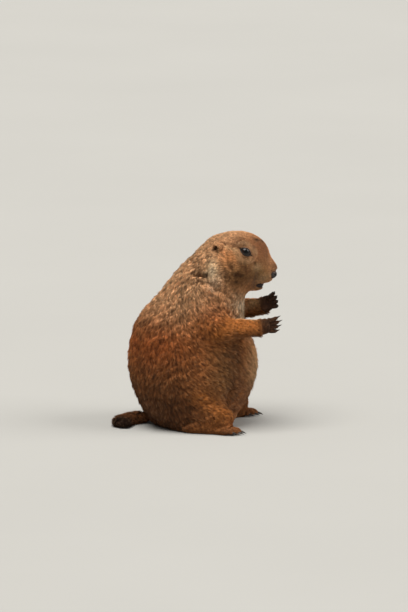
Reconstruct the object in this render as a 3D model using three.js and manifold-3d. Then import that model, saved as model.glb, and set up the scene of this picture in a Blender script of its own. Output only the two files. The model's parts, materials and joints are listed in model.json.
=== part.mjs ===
// A fat adult black-tailed prairie dog, life size, sitting up on its haunches with both hands raised.
// Millimetres, +Z up. The animal faces +X and its left side is +Y. The surface is that of the coat.
// The soft parts are rounded lumps blended into one skin, which thin cuts part into named pieces.

import * as THREE from "three";
import { mergeVertices } from "three/addons/utils/BufferGeometryUtils.js";
import Module from "manifold-3d";

const wasm = await Module();
wasm.setup();

// Driving dimensions
const GAP = 0.3; // left between two pieces that touch
const CROWN_HEIGHT = 197.8; // floor to the top of the head
const TRUNK_DEPTH = 131; // back to belly, at the widest
const TRUNK_WIDTH = 118; // across the belly
const SHOULDER_WIDTH = 84;
const HEAD_WIDTH = 50; // across the skull, coat included
const SNOUT_WIDTH = 24.5;
const EYE_RADIUS = 6.2;
const EYE_OPENING = [12, 7.6]; // length and height of the gap between the lids
const LID_THICKNESS = 0.9;
const EAR_SIZE = [9.4, 12.6, 7]; // across, along and through the pinna
const FOREARM_RADII = [11.5, 7.6]; // at the elbow and at the wrist
const UPPER_ARM_RADII = [17, 12.5]; // at the shoulder and at the elbow
const FINGER_LENGTH = 11;
const FINGER_RADII = [3.1, 2.1];
const TOE_LENGTH = 12;
const TOE_RADII = [3.5, 2.6];
const HAND_CLAW_LENGTH = 8;
const FOOT_CLAW_LENGTH = 6.5;
const FOOT_SPREAD = 46; // from the middle plane to the middle of each sole
const TAIL_WIDTH = 19;
const TAIL_DEPTH = 11.6;

const LEFT = 1;
const RIGHT = -1;
const SIDES = { left: LEFT, right: RIGHT };

// Colours of the coat and the bare parts
const COAT = new THREE.MeshStandardMaterial({ color: 0xa5713f, roughness: 0.95, metalness: 0 });
const PALE_COAT = new THREE.MeshStandardMaterial({ color: 0xb98a5c, roughness: 0.95, metalness: 0 });
const TAIL_COAT = new THREE.MeshStandardMaterial({ color: 0x5a3a25, roughness: 0.95, metalness: 0 });
const BARE_SKIN = new THREE.MeshStandardMaterial({ color: 0x2a201b, roughness: 0.55, metalness: 0 });
const EYE_BLACK = new THREE.MeshStandardMaterial({ color: 0x0b0908, roughness: 0.06, metalness: 0 });
const CLAW_HORN = new THREE.MeshStandardMaterial({ color: 0x1d1714, roughness: 0.35, metalness: 0 });

// Small vector helpers on plain arrays
const vec = (a) => new THREE.Vector3(...a);
const add = (a, b) => a.map((x, i) => x + b[i]);
const sub = (a, b) => a.map((x, i) => x - b[i]);
const times = (a, k) => a.map((x) => x * k);
const mix = (a, b, t) => a.map((x, i) => x + (b[i] - x) * t);
const unit = (a) => times(a, 1 / Math.hypot(...a));
const onSide = (a, side) => [a[0], a[1] * side, a[2]];
const bothSides = (make) => Object.entries(SIDES).map(([name, side]) => make(side, name));

// Fields: each gives about the distance from a point to its surface, below 0 inside

/** An ellipsoid at a point, with its own axes turned by a quaternion. */
function lump(at, radii, turn = null) {
  const back = turn && turn.clone().invert();
  const p = new THREE.Vector3();
  return (x, y, z) => {
    p.set(x - at[0], y - at[1], z - at[2]);
    if (back) p.applyQuaternion(back);
    const near = Math.hypot(p.x / radii[0], p.y / radii[1], p.z / radii[2]);
    const slope = Math.hypot(p.x / radii[0] ** 2, p.y / radii[1] ** 2, p.z / radii[2] ** 2);
    return slope < 1e-9 ? -Math.min(...radii) : (near * (near - 1)) / slope;
  };
}

/** A round bar from a to b, whose radius goes from the first to the second of two values. */
function bone(a, b, [radiusA, radiusB]) {
  const along = sub(b, a);
  const length2 = along.reduce((sum, v) => sum + v * v, 0);
  return (x, y, z) => {
    const [dx, dy, dz] = [x - a[0], y - a[1], z - a[2]];
    const raw = (dx * along[0] + dy * along[1] + dz * along[2]) / length2;
    const t = Math.min(1, Math.max(0, raw));
    const away = Math.hypot(dx - along[0] * t, dy - along[1] * t, dz - along[2] * t);
    return away - (radiusA + (radiusB - radiusA) * t);
  };
}

/** Joins fields, each one [field, width of its soft fillet]. */
function blend(parts) {
  return (x, y, z) => {
    let all = Infinity;
    for (const [field, soft] of parts) {
      const d = field(x, y, z);
      if (all === Infinity) {
        all = d;
        continue;
      }
      const h = Math.max(soft - Math.abs(all - d), 0) / soft;
      all = Math.min(all, d) - (h * h * soft) / 4;
    }
    return all;
  };
}

// Solids

/** A geometry with only its places and faces, where corners at one place are one. */
function welded(geometry) {
  const bare = geometry.clone();
  for (const name of Object.keys(bare.attributes)) if (name !== "position") bare.deleteAttribute(name);
  return mergeVertices(bare, 1e-4);
}

/** A closed solid from a three.js geometry. */
function solidOf(geometry) {
  const merged = welded(geometry);
  const corners = merged.index.array;
  const kept = [];
  for (let i = 0; i < corners.length; i += 3) {
    const [a, b, c] = [corners[i], corners[i + 1], corners[i + 2]];
    if (a !== b && b !== c && c !== a) kept.push(a, b, c);
  }
  return new wasm.Manifold(
    new wasm.Mesh({
      numProp: 3,
      vertProperties: new Float32Array(merged.attributes.position.array),
      triVerts: new Uint32Array(kept),
    }),
  );
}

/** Back to a three.js geometry, flat shaded. */
function geometryOf(solid) {
  const mesh = solid.getMesh();
  const geometry = new THREE.BufferGeometry();
  geometry.setAttribute("position", new THREE.BufferAttribute(new Float32Array(mesh.vertProperties), 3));
  geometry.setIndex(new THREE.BufferAttribute(new Uint32Array(mesh.triVerts), 1));
  geometry.computeVertexNormals();
  return geometry;
}

/** The largest closed body of a solid, with any hollow or scrap left out. */
function largest(solid) {
  return solid.decompose().reduce((best, s) => (s.volume() > best.volume() ? s : best));
}

const union = (solids) => solids.reduce((all, s) => all.add(s));
const without = (solid, cutters) => cutters.reduce((rest, c) => rest.subtract(c), solid);

/** Lays a ball or capsule mesh on a field. Each vertex runs out from the core line until it leaves the field. */
function wrap(field, coreStart, coreEnd, { reach, detail = 8, around = 0, along = 2, caps = 4, level = 0 }) {
  const core = sub(coreEnd, coreStart);
  const length = Math.hypot(...core);
  const geometry = welded(
    around ? new THREE.CapsuleGeometry(1, length, caps, around, along) : new THREE.IcosahedronGeometry(1, detail),
  );
  const turn = new THREE.Quaternion();
  if (length) turn.setFromUnitVectors(new THREE.Vector3(0, 1, 0), vec(core).normalize());
  const position = geometry.attributes.position;
  const v = new THREE.Vector3();
  const STEP = 1;
  for (let i = 0; i < position.count; i++) {
    v.fromBufferAttribute(position, i);
    const y = around ? Math.min(length / 2, Math.max(-length / 2, v.y)) : 0;
    v.y -= y;
    v.normalize().applyQuaternion(turn);
    const from = around ? mix(coreStart, coreEnd, y / length + 0.5) : mix(coreStart, coreEnd, 0.5);
    const inside = (r) => field(from[0] + v.x * r, from[1] + v.y * r, from[2] + v.z * r) < level;
    let near = 0;
    while (near < reach && inside(near + STEP)) near += STEP;
    let far = Math.min(reach, near + STEP);
    for (let k = 0; k < 12; k++) {
      const half = (near + far) / 2;
      if (inside(half)) near = half;
      else far = half;
    }
    position.setXYZ(i, from[0] + v.x * near, from[1] + v.y * near, from[2] + v.z * near);
  }
  return solidOf(geometry);
}

/** A turned ellipsoid as a solid. */
function egg(at, radii, turn = new THREE.Quaternion(), detail = 5) {
  const geometry = new THREE.IcosahedronGeometry(1, detail);
  geometry.scale(...radii).applyQuaternion(turn).translate(...at);
  return solidOf(geometry);
}

/** Everything on the side of a plane that its normal points to, within a large block. */
function half(point, normal) {
  const SIZE = 600;
  const block = new THREE.BoxGeometry(SIZE, SIZE, SIZE).translate(0, 0, SIZE / 2);
  block.applyQuaternion(new THREE.Quaternion().setFromUnitVectors(new THREE.Vector3(0, 0, 1), vec(unit(normal))));
  return solidOf(block.translate(...point));
}

/** A tapering limb along a smooth curve. section(t) gives [half width, half height] at a share t of its length. */
function taper(points, section, { sides = 8, steps = 5, up = [0, 0, 1], spread = (t) => t } = {}) {
  const curve = new THREE.CatmullRomCurve3(points.map(vec));
  const geometry = new THREE.CylinderGeometry(1, 1, 1, sides, steps);
  const position = geometry.attributes.position;
  for (let i = 0; i < position.count; i++) {
    const t = spread(Math.min(1, Math.max(0, position.getY(i) + 0.5)));
    const forward = curve.getTangentAt(t);
    const across = new THREE.Vector3().crossVectors(vec(up), forward).normalize();
    const over = new THREE.Vector3().crossVectors(forward, across);
    const [wide, high] = section(t);
    const at = curve.getPointAt(t);
    at.addScaledVector(across, position.getX(i) * wide).addScaledVector(over, -position.getZ(i) * high);
    position.setXYZ(i, at.x, at.y, at.z);
  }
  return solidOf(geometry);
}

// The trunk and head, as lumps along the middle and in pairs
const BELLY_TOP = CROWN_HEIGHT - 73.7;
const trunk = [
  [lump([-3.1, 0, 63.3], [TRUNK_DEPTH / 2, TRUNK_WIDTH / 2, BELLY_TOP - 63.3]), 1],
  [lump([-3.4, 0, 25.5], [47.2, 44, 29.8]), 24],
  [lump([-10, 0, 96.5], [45.4, 47, 38.1]), 24],
  [lump([10.5, 0, 133.3], [39, SHOULDER_WIDTH / 2 - 3, 35.5]), 24],
  [lump([21.7, 0, 151.7], [26, 30, 35.8]), 20],
];
const skull = [
  [lump([42.4, 0, CROWN_HEIGHT - 25.8], [33.3, HEAD_WIDTH / 2, 25.8]), 12],
  [lump([61.5, 0, 159.6], [18.6, SNOUT_WIDTH / 2, 13.3]), 8],
  [lump([74.8, 0, 158.3], [9, 6.4, 9.6]), 7],
  [lump([60, 0, 146.2], [12, 8.6, 9.6]), 7],
  ...bothSides((side) => [lump([39.5, 14.5 * side, 157.5], [19, 12.5, 15.5]), 10]),
  ...bothSides((side) => [lump([69, 5.4 * side, 153.2], [9, 5.4, 6.8]), 5]),
  ...bothSides((side) => [lump([44, 16 * side, 187], [12, 5, 4.6]), 8]),
];

// The legs: haunch, thigh and knee on each side
const HAUNCH = { at: [-4, 34, 40], radii: [42, 22, 35] };
const THIGH = { hip: [0, 38, 19], knee: [31, 43.5, 15], radii: [18, 13] };
const SHANK = { knee: [33, 44, 14.5], ankle: [7, 46, 9], radii: [14.2, 8.5] };
const haunches = bothSides((side) => [lump(onSide(HAUNCH.at, side), HAUNCH.radii), 14]);
const thighs = bothSides((side) => [bone(onSide(THIGH.hip, side), onSide(THIGH.knee, side), THIGH.radii), 6]);

// The arms: the left hand is held higher than the right one
const ARMS = {
  left: { shoulder: [12, 27, 134], elbow: [28, 42, 110], wrist: [64.5, 20, 119], rise: 0.4 },
  right: { shoulder: [12, -27, 132], elbow: [29, -42, 106], wrist: [67, -20, 104], rise: 0.03 },
};
const upperArm = (arm) => bone(arm.shoulder, arm.elbow, UPPER_ARM_RADII);
const forearm = (arm) => bone(arm.elbow, arm.wrist, FOREARM_RADII);
const arms = Object.values(ARMS).map((arm) => [upperArm(arm), 9]);

// The trunk's own surface, that of the head, and the whole with the limbs that lie on it
const trunkField = blend([...trunk, ...haunches]);
const headField = blend([...trunk, ...skull]);
const bodyField = blend([...trunk, ...skull, ...haunches, ...thighs, ...arms]);
const armField = (arm) => blend([[bodyField, 1], [forearm(arm), 9]]);

const floor = half([0, 0, 0], [0, 0, 1]);

// Planes that part the head, the neck and the trunk, pointing to the head
const NECK_TOP = { point: [31, 0, 159.5], normal: [0.79, 0, 0.61] };
const NECK_BASE = { point: [25.5, 0, 150.5], normal: [0.63, 0, 0.77] };
const before = (plane, gap) => half(add(plane.point, times(unit(plane.normal), gap)), plane.normal);
const behind = (plane, gap) => half(add(plane.point, times(unit(plane.normal), -gap)), times(plane.normal, -1));

// Cells that hold a limb's share of the skin, a little larger by a gap for what surrounds them

function haunchCell(side, gap) {
  const middle = onSide(add(HAUNCH.at, [0, 6, -1]), side);
  return egg(middle, HAUNCH.radii.map((r) => r + 3 + gap), undefined, 4);
}

function armCell(arm, gap) {
  const axis = unit(sub(arm.elbow, arm.shoulder));
  const turn = new THREE.Quaternion().setFromUnitVectors(new THREE.Vector3(0, 0, 1), vec(axis));
  const middle = add(mix(arm.shoulder, arm.elbow, 0.35), [0, 3 * Math.sign(arm.wrist[1]), 0]);
  return egg(middle, [20.5, 20.5, 34.5].map((r) => r + gap), turn, 3);
}

/** The plane that halves the elbow's bend, pointing to the forearm. */
function elbowPlane(arm) {
  const down = unit(sub(arm.elbow, arm.shoulder));
  const out = unit(sub(arm.wrist, arm.elbow));
  return { point: arm.elbow, normal: unit(add(down, out)) };
}

// Hands

/** Where a hand points, and the way its fingers curl. */
function handFrame(arm) {
  const side = Math.sign(arm.wrist[1]);
  const forward = unit([0.93, -0.3 * side, arm.rise]);
  const over = unit(sub([0, 0.12 * side, 1], times(forward, forward[2] + 0.12 * side * forward[1])));
  const curl = vec(over).cross(vec(forward)).multiplyScalar(-side).toArray();
  return { forward, curl, over };
}

const FINGER_FAN = [1, 0.34, -0.32, -0.95]; // places across the hand, from the second finger to the fifth
const FINGER_SHARES = [0.92, 1.05, 1, 0.86]; // lengths beside the longest
const PALM_HALF_WIDTH = 6.6;
const PALM_LENGTH = 13;

/** The line of each finger and its claw, from its root in the palm. The first one is the thumb. */
function fingerLines(arm) {
  const { forward, curl, over } = handFrame(arm);
  const place = (root, f, c, o) => add(root, add(times(forward, f), add(times(curl, c), times(over, o))));
  const fingers = FINGER_FAN.map((fan, i) => {
    const long = FINGER_LENGTH * FINGER_SHARES[i];
    const claw = HAND_CLAW_LENGTH * FINGER_SHARES[i];
    const root = place(arm.wrist, PALM_LENGTH - 3, 1.2, fan * (PALM_HALF_WIDTH - 1.6));
    return {
      flesh: [root, place(root, long * 0.55, 0.8, fan * 1.4), place(root, long * 0.93, long * 0.4, fan * 1.9)],
      reach: (share) => {
        const [ahead, curled] = [long * 0.93 + claw * 0.68 * share, long * 0.4 + claw * 0.7 * share ** 1.3];
        return place(root, ahead, curled, fan * (1.9 + 0.4 * share));
      },
      radii: FINGER_RADII,
      claw: 1,
    };
  });
  const root = place(arm.wrist, 5.5, 2.8, 4.4);
  const thumb = {
    flesh: [root, place(root, 3, 1.6, 1), place(root, 5.6, 3.4, 1.4)],
    reach: (share) => place(root, 5.6 + 2.6 * share, 3.4 + 2 * share ** 1.5, 1.4 + 0.4 * share),
    radii: [2.6, 1.9],
    claw: 0.7,
  };
  return [thumb, ...fingers];
}

/** One finger or toe, with a flat end for its claw. */
function digit(line, up, grow = 0) {
  const [thick, thin] = line.radii.map((r) => r + grow);
  const section = (t) => [thick + (thin - thick) * t, (thick + (thin - thick) * t) * 0.95];
  return taper(line.flesh, section, { sides: 7, steps: 3, up });
}

/** A claw that carries on from a digit's flat end and narrows to its tip. */
function claw(line, up) {
  const start = line.reach(0);
  const clear = times(unit(sub(line.reach(0.15), start)), GAP);
  const points = [0, 0.35, 0.7, 1].map((share) => add(line.reach(share), clear));
  const wide = line.radii[1] * 0.62 * line.claw;
  const high = line.radii[1] * 0.8 * line.claw;
  const narrow = (t) => 1 - 0.88 * t ** 1.3;
  return taper(points, (t) => [wide * narrow(t), high * narrow(t)], { sides: 5, steps: 3, up });
}

function handSolid(arm) {
  const { forward, over } = handFrame(arm);
  const palmTurn = new THREE.Quaternion().setFromRotationMatrix(
    new THREE.Matrix4().makeBasis(vec(forward), vec(over).cross(vec(forward)), vec(over)),
  );
  const palm = lump(add(arm.wrist, times(forward, 6.5)), [10, 5.2, PALM_HALF_WIDTH + 0.8], palmTurn);
  const cuff = bone(arm.wrist, add(arm.wrist, times(forward, 6)), [FOREARM_RADII[1] - 1.2, 5]);
  const field = blend([[palm, 1], [cuff, 4]]);
  const tip = add(arm.wrist, times(forward, 10));
  const body = wrap(field, arm.wrist, tip, { reach: 16, around: 12, along: 3, caps: 3 });
  return union([body, ...fingerLines(arm).map((line) => digit(line, over))]);
}

// Feet

const TOE_FAN = [-1, -0.5, 0, 0.5, 1]; // from the inner toe to the outer one
const TOE_SHARES = [0.72, 0.94, 1.04, 0.98, 0.74];
const HEEL_X = 0;
const BALL_X = 40;
const TOE_OUT = 3; // how far the ball lies outside the heel

/** The line of each toe and its claw. */
function toeLines(side) {
  return TOE_FAN.map((fan, i) => {
    const long = TOE_LENGTH * TOE_SHARES[i];
    const nail = FOOT_CLAW_LENGTH * (0.6 + 0.4 * TOE_SHARES[i]);
    const root = [BALL_X + 1.5 - 3.2 * fan * fan, FOOT_SPREAD + TOE_OUT + 6.4 * fan, 4.2];
    const spread = 0.07 + 0.2 * fan;
    const place = (f, z) => onSide([root[0] + f, root[1] + f * spread, z], side);
    return {
      flesh: [place(0, 4.2), place(long * 0.5, 4.9), place(long, TOE_RADII[1] + 0.9)],
      reach: (share) => place(long + nail * share, TOE_RADII[1] + 0.9 - 1.9 * share ** 1.6),
      radii: TOE_RADII,
      claw: 0.85,
    };
  });
}

function footField(side) {
  return blend([
    [lump(onSide([HEEL_X + 4, FOOT_SPREAD - 1, 5.5], side), [9, 7, 6.4]), 1],
    [lump(onSide([22, FOOT_SPREAD + 1, 6], side), [24, 8, 7.6]), 6],
    [lump(onSide([BALL_X, FOOT_SPREAD + TOE_OUT, 4.2], side), [9, 9.6, 5.4]), 5],
  ]);
}

function footSole(side, level) {
  const heel = onSide([HEEL_X + 4, FOOT_SPREAD - 1, 5], side);
  const ball = onSide([BALL_X, FOOT_SPREAD + TOE_OUT, 4], side);
  return wrap(footField(side), heel, ball, { reach: 20, around: 12, along: 6, caps: 3, level });
}

function footSolid(side) {
  return union([footSole(side, 0), ...toeLines(side).map((line) => digit(line, [0, 0, 1]))]).intersect(floor);
}

// Head: eyes in their lids, ears, nose and mouth

const EYE = { at: [55, 21.6, 179.6], outward: [0.34, 0.9, 0.24], sunk: 4, slant: 0.4 };
const eyeCentre = (side) => onSide(sub(EYE.at, times(unit(EYE.outward), EYE.sunk)), side);

/** Turns +Z to the way the eye looks and +X to its front corner, which lies low. */
function eyeTurn(side) {
  const look = vec(onSide(unit(EYE.outward), side));
  const front = new THREE.Vector3(Math.cos(EYE.slant), 0, -Math.sin(EYE.slant));
  front.addScaledVector(look, -front.dot(look)).normalize();
  return new THREE.Quaternion().setFromRotationMatrix(
    new THREE.Matrix4().makeBasis(front, new THREE.Vector3().crossVectors(look, front), look),
  );
}

/** The almond gap between the lids, as a bar that points out of the eye. */
function eyeOpening(side) {
  const [long, high] = EYE_OPENING.map((size) => size / 2);
  const almond = new THREE.Shape();
  almond.moveTo(-long, 0);
  almond.quadraticCurveTo(0, high * 2, long, 0);
  almond.quadraticCurveTo(0, -high * 2, -long, 0);
  const bar = new THREE.ExtrudeGeometry(almond, { depth: 12, bevelEnabled: false, curveSegments: 7 });
  return solidOf(bar.applyQuaternion(eyeTurn(side)).translate(...eyeCentre(side)));
}

const eyeBall = (side, radius) => egg(eyeCentre(side), [radius, radius, radius], undefined, 2);

const EAR = { at: [26.8, 21.6, 185.2], tilt: [-0.45, -0.25, 0.25] };

function earTurn(side) {
  const [roll, lean, toe] = EAR.tilt;
  return new THREE.Quaternion().setFromEuler(new THREE.Euler(roll * side, lean, toe * side));
}

/** The whole ear as an egg that stands half out of the head. */
function earBody(side, gap) {
  const [across, along, through] = EAR_SIZE.map((size) => size / 2 + gap);
  return egg(onSide(EAR.at, side), [across, through, along], earTurn(side), 2);
}

/** The pinna: a cup whose rim is thickest in front and whose hollow is open to the back. */
function earSolid(side) {
  const [across, along, through] = EAR_SIZE.map((size) => size / 2);
  const shift = vec([-1.3, 2 * side, -1.2]).applyQuaternion(earTurn(side)).toArray();
  const hollow = egg(add(onSide(EAR.at, side), shift), [across - 1.3, through, along - 1.5], earTurn(side), 2);
  return earBody(side, 0).subtract(hollow);
}

const NOSE = { at: [79.4, 0, 154.9], radii: [4.7, 6.5, 4.4] };
const noseBall = (gap) => egg(NOSE.at, NOSE.radii.map((r) => r + gap), undefined, 2);

function noseSolid() {
  const nostrils = bothSides((side) => {
    const turn = new THREE.Quaternion().setFromEuler(new THREE.Euler(0.5 * side, 0.3, 0.75 * side));
    return egg([NOSE.at[0] + 2.6, 4.4 * side, NOSE.at[2] - 0.6], [2.4, 1.4, 1.4], turn, 1);
  });
  return without(noseBall(0), nostrils);
}

/** The parted lips: a wedge that opens from both corners of the mouth to the front, cut a few millimetres deep. */
function mouthCut() {
  const CORNER = [61.5, 145];
  const DEEP = 3.4;
  const gap = new THREE.Shape();
  gap.moveTo(...CORNER);
  gap.quadraticCurveTo(65, 140.6, 76, 139.8);
  gap.lineTo(84, 139.8);
  gap.lineTo(84, 147.6);
  gap.quadraticCurveTo(70, 145.9, ...CORNER);
  const HALF_WIDTH = 20;
  const plate = new THREE.ExtrudeGeometry(gap, { depth: 2 * HALF_WIDTH, bevelEnabled: false, curveSegments: 5 });
  plate.rotateX(Math.PI / 2).translate(0, HALF_WIDTH, 0);
  const inner = wrap(headField, [56, 0, 152], [60, 0, 150], { reach: 40, around: 16, along: 2, level: -DEEP });
  return solidOf(plate).subtract(inner);
}

const HEAD_CENTRE = [45, 0, 168];

function headSolid() {
  const skin = wrap(headField, HEAD_CENTRE, HEAD_CENTRE, { reach: 52, detail: 9 });
  const rim = EYE_RADIUS + GAP + LID_THICKNESS;
  const lids = bothSides((side) => eyeBall(side, rim));
  const sockets = bothSides((side) => [eyeBall(side, EYE_RADIUS + GAP), eyeOpening(side), earBody(side, GAP)]).flat();
  const whole = union([skin.intersect(before(NECK_TOP, GAP / 2)), ...lids]);
  return without(whole, [...sockets, noseBall(GAP), mouthCut()]);
}

function neckSolid() {
  const core = mix(NECK_BASE.point, NECK_TOP.point, 0.5);
  const skin = wrap(headField, core, core, { reach: 60, detail: 7 });
  return skin.intersect(behind(NECK_TOP, GAP / 2)).intersect(before(NECK_BASE, GAP / 2));
}

const TRUNK_CENTRE = [-3, 0, 70];
const trunkSkin = (level) => wrap(trunkField, TRUNK_CENTRE, TRUNK_CENTRE, { reach: 130, detail: 8, level });

function torsoSolid() {
  return trunkSkin(0).intersect(behind(NECK_BASE, GAP / 2)).intersect(floor);
}

function thighSolid(side) {
  const core = onSide(HAUNCH.at, side);
  const skin = wrap(bodyField, core, core, { reach: 60, detail: 6 });
  return skin.intersect(haunchCell(side, 0)).intersect(floor);
}

/** The lower leg with the knee, which stands out of the flank. */
function shankBar(side, level) {
  const [knee, ankle] = [onSide(SHANK.knee, side), onSide(SHANK.ankle, side)];
  return wrap(bone(knee, ankle, SHANK.radii), knee, ankle, { reach: 20, around: 18, along: 4, caps: 5, level });
}

function upperArmSolid(arm) {
  const skin = wrap(armField(arm), arm.shoulder, mix(arm.shoulder, arm.elbow, 0.9),
    { reach: 40, around: 16, along: 4, caps: 4 });
  return skin.intersect(armCell(arm, 0)).intersect(behind(elbowPlane(arm), GAP / 2));
}

function forearmBar(arm, level) {
  return wrap(blend([[upperArm(arm), 1], [forearm(arm), 9]]), arm.elbow, arm.wrist,
    { reach: 22, around: 14, along: 5, caps: 3, level });
}

/** Where the forearm ends and the hand begins. */
const wristPlane = (arm) => ({ point: arm.wrist, normal: handFrame(arm).forward });

// Tail: it lies on the floor and bends to the right

const TAIL_LINE = [[-38, 0, 9.5], [-54, -4, 7], [-65, -13, 5.8], [-68.5, -25, 5.5], [-66, -37, 5.2]];

function tailSolid() {
  const section = (t) => {
    const end = Math.sqrt(Math.max(0, 1 - Math.max(0, (t - 0.74) / 0.26) ** 2));
    const root = 0.85 + 0.15 * Math.min(1, t / 0.5);
    return [(TAIL_WIDTH / 2) * end * root, (TAIL_DEPTH / 2) * end * root];
  };
  const towardsTip = (t) => 1 - (1 - t) ** 1.6;
  return taper(TAIL_LINE, section, { sides: 14, steps: 14, spread: towardsTip }).intersect(floor);
}

// Assembly: each piece is cut clear of those that it gives way to

function buildPieces() {
  const pieces = {};
  const clear = {};
  bothSides((side, name) => {
    const arm = ARMS[name];
    clear[name] = {
      foot: union([footSole(side, GAP), ...toeLines(side).map((line) => digit(line, [0, 0, 1], GAP))]),
      haunch: haunchCell(side, GAP),
      shank: shankBar(side, GAP),
      arm: armCell(arm, GAP),
      forearm: forearmBar(arm, GAP).intersect(before(elbowPlane(arm), 0)),
    };
  });
  const all = (key) => [clear.left[key], clear.right[key]];
  const limbs = [...all("foot"), ...all("haunch"), ...all("shank"), ...all("arm"), ...all("forearm")];

  pieces.torso = [without(torsoSolid(), limbs), COAT];
  pieces.neck = [without(neckSolid(), all("arm")), COAT];
  pieces.head = [headSolid(), COAT];
  pieces.nose = [noseSolid(), BARE_SKIN];
  pieces.tail = [tailSolid().subtract(trunkSkin(GAP)), TAIL_COAT];

  bothSides((side, name) => {
    const arm = ARMS[name];
    const { foot, shank } = clear[name];
    pieces[`eye_${name}`] = [eyeBall(side, EYE_RADIUS), EYE_BLACK];
    pieces[`ear_${name}`] = [earSolid(side), COAT];
    pieces[`upper_arm_${name}`] = [upperArmSolid(arm), COAT];
    pieces[`forearm_${name}`] = [forearmBar(arm, 0)
      .intersect(before(elbowPlane(arm), GAP / 2))
      .intersect(behind(wristPlane(arm), GAP / 2)), COAT];
    pieces[`hand_${name}`] = [handSolid(arm).intersect(before(wristPlane(arm), GAP / 2)), PALE_COAT];
    pieces[`thigh_${name}`] = [without(thighSolid(side), [foot, shank]), COAT];
    pieces[`shank_${name}`] = [shankBar(side, 0).intersect(floor).subtract(foot), COAT];
    pieces[`foot_${name}`] = [footSolid(side), PALE_COAT];
    fingerLines(arm).forEach((line, i) => {
      pieces[`hand_${name}_claw_${i + 1}`] = [claw(line, handFrame(arm).over), CLAW_HORN];
    });
    toeLines(side).forEach((line, i) => {
      pieces[`foot_${name}_claw_${i + 1}`] = [claw(line, [0, 0, 1]).intersect(floor), CLAW_HORN];
    });
  });
  return pieces;
}

// The origin is on the floor, below the middle of the whole animal's box
const animal = new THREE.Group();
animal.name = "prairie_dog";
for (const [name, [solid, material]] of Object.entries(buildPieces())) {
  const mesh = new THREE.Mesh(geometryOf(largest(solid)), material);
  mesh.name = name;
  animal.add(mesh);
}
const extent = new THREE.Box3().setFromObject(animal, true);
const middle = extent.getCenter(new THREE.Vector3());
animal.position.set(-middle.x, -middle.y, -extent.min.z);

export default animal;
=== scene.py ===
"""A still, life-size black-tailed prairie dog that sits up with its hands raised before its chest.

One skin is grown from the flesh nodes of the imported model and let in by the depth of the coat.
The coat is thin solid tufts, rooted in that skin and laid along the body, in pieces by region.
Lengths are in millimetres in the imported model's frame, and become metres when a mesh is made.
"""

import json
import math
from contextlib import contextmanager

import bmesh
import bpy
import numpy as np
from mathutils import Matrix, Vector
from mathutils.kdtree import KDTree

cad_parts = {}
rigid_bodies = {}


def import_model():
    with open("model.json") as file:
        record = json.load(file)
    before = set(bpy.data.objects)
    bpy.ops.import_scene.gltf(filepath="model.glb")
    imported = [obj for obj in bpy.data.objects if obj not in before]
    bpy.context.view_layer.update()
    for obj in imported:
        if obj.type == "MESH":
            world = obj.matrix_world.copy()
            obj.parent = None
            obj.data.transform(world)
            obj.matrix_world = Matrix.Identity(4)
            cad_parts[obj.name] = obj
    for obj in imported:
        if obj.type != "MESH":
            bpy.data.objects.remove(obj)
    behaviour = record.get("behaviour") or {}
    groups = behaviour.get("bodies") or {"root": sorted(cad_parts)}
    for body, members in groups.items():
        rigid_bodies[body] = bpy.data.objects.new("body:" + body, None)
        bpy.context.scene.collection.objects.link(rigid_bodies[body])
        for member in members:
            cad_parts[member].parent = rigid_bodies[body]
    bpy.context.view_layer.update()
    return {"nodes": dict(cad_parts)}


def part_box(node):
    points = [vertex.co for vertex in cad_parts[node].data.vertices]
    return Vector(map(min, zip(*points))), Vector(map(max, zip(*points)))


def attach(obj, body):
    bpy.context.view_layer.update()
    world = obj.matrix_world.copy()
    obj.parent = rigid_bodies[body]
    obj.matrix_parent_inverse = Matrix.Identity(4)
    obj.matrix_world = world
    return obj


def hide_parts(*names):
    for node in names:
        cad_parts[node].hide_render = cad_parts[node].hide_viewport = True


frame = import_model()

MM = 0.001
SEED = 2589
SIDES = {"left": 1, "right": -1}
UP = np.array([0.0, 0.0, 1.0])

FLESH = ["torso", "neck", "head", "tail"] + [
    f"{part}_{side}"
    for part in ("ear", "upper_arm", "forearm", "hand", "thigh", "shank", "foot")
    for side in SIDES
]


def middle(node, way=1):
    """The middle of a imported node's box, or half its size where way is -1."""
    low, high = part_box(node)
    return np.array((high + way * low) / 2) / MM


def half_size(node):
    """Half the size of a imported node's box."""
    return middle(node, -1)


def unit(v):
    """The vectors v at length 1."""
    v = np.asarray(v, float)
    return v / np.maximum(np.linalg.norm(v, axis=-1, keepdims=True), 1e-9)


def step(x, start, end):
    """A smooth rise from 0 where x is start to 1 where it is end."""
    t = np.clip((np.asarray(x, float) - start) / (end - start), 0, 1)
    return t * t * (3 - 2 * t)


def hump(x, top, reach):
    """1 where x is top, falling to 0 at about twice the reach."""
    return np.exp(-(((x - top) / reach) ** 2))


def toward(a, b, share):
    """a where share is 0 and b where it is 1."""
    return a * (1 - share) + b * share


def mix(a, b, share):
    """The same for vectors, which have one share each."""
    return toward(np.asarray(a), np.asarray(b), np.asarray(share)[:, None])


def far_from(points, place, size=1):
    """How far each point is from a place, measured in that size."""
    return np.linalg.norm((points - place) / size, axis=1)


def kind_of(node):
    """The node's name without its side."""
    return node.removesuffix("_left").removesuffix("_right")


# Places on the animal
NOSE = middle("nose")
NOSE_SIZE = half_size("nose")
EYE = {side: middle(f"eye_{side}") for side in SIDES}
EYE_RADIUS = float(half_size("eye_left")[2])
EAR = {side: middle(f"ear_{side}") for side in SIDES}
EAR_SIZE = half_size("ear_left")
SHOULDER = {"left": np.array([6.3, 27, 134]), "right": np.array([6.3, -27, 132])}
ELBOW = {"left": np.array([22.3, 42, 110]), "right": np.array([23.3, -42, 106])}
WRIST = {"left": np.array([58.8, 20, 119]), "right": np.array([61.3, -20, 104])}
MOUTH = np.array([63.5, 0, 143.5])
TONGUE = np.array([57.4, 0, 143.9])
TONGUE_SIZE = np.array([6.2, 6.8, 3.1])

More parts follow.
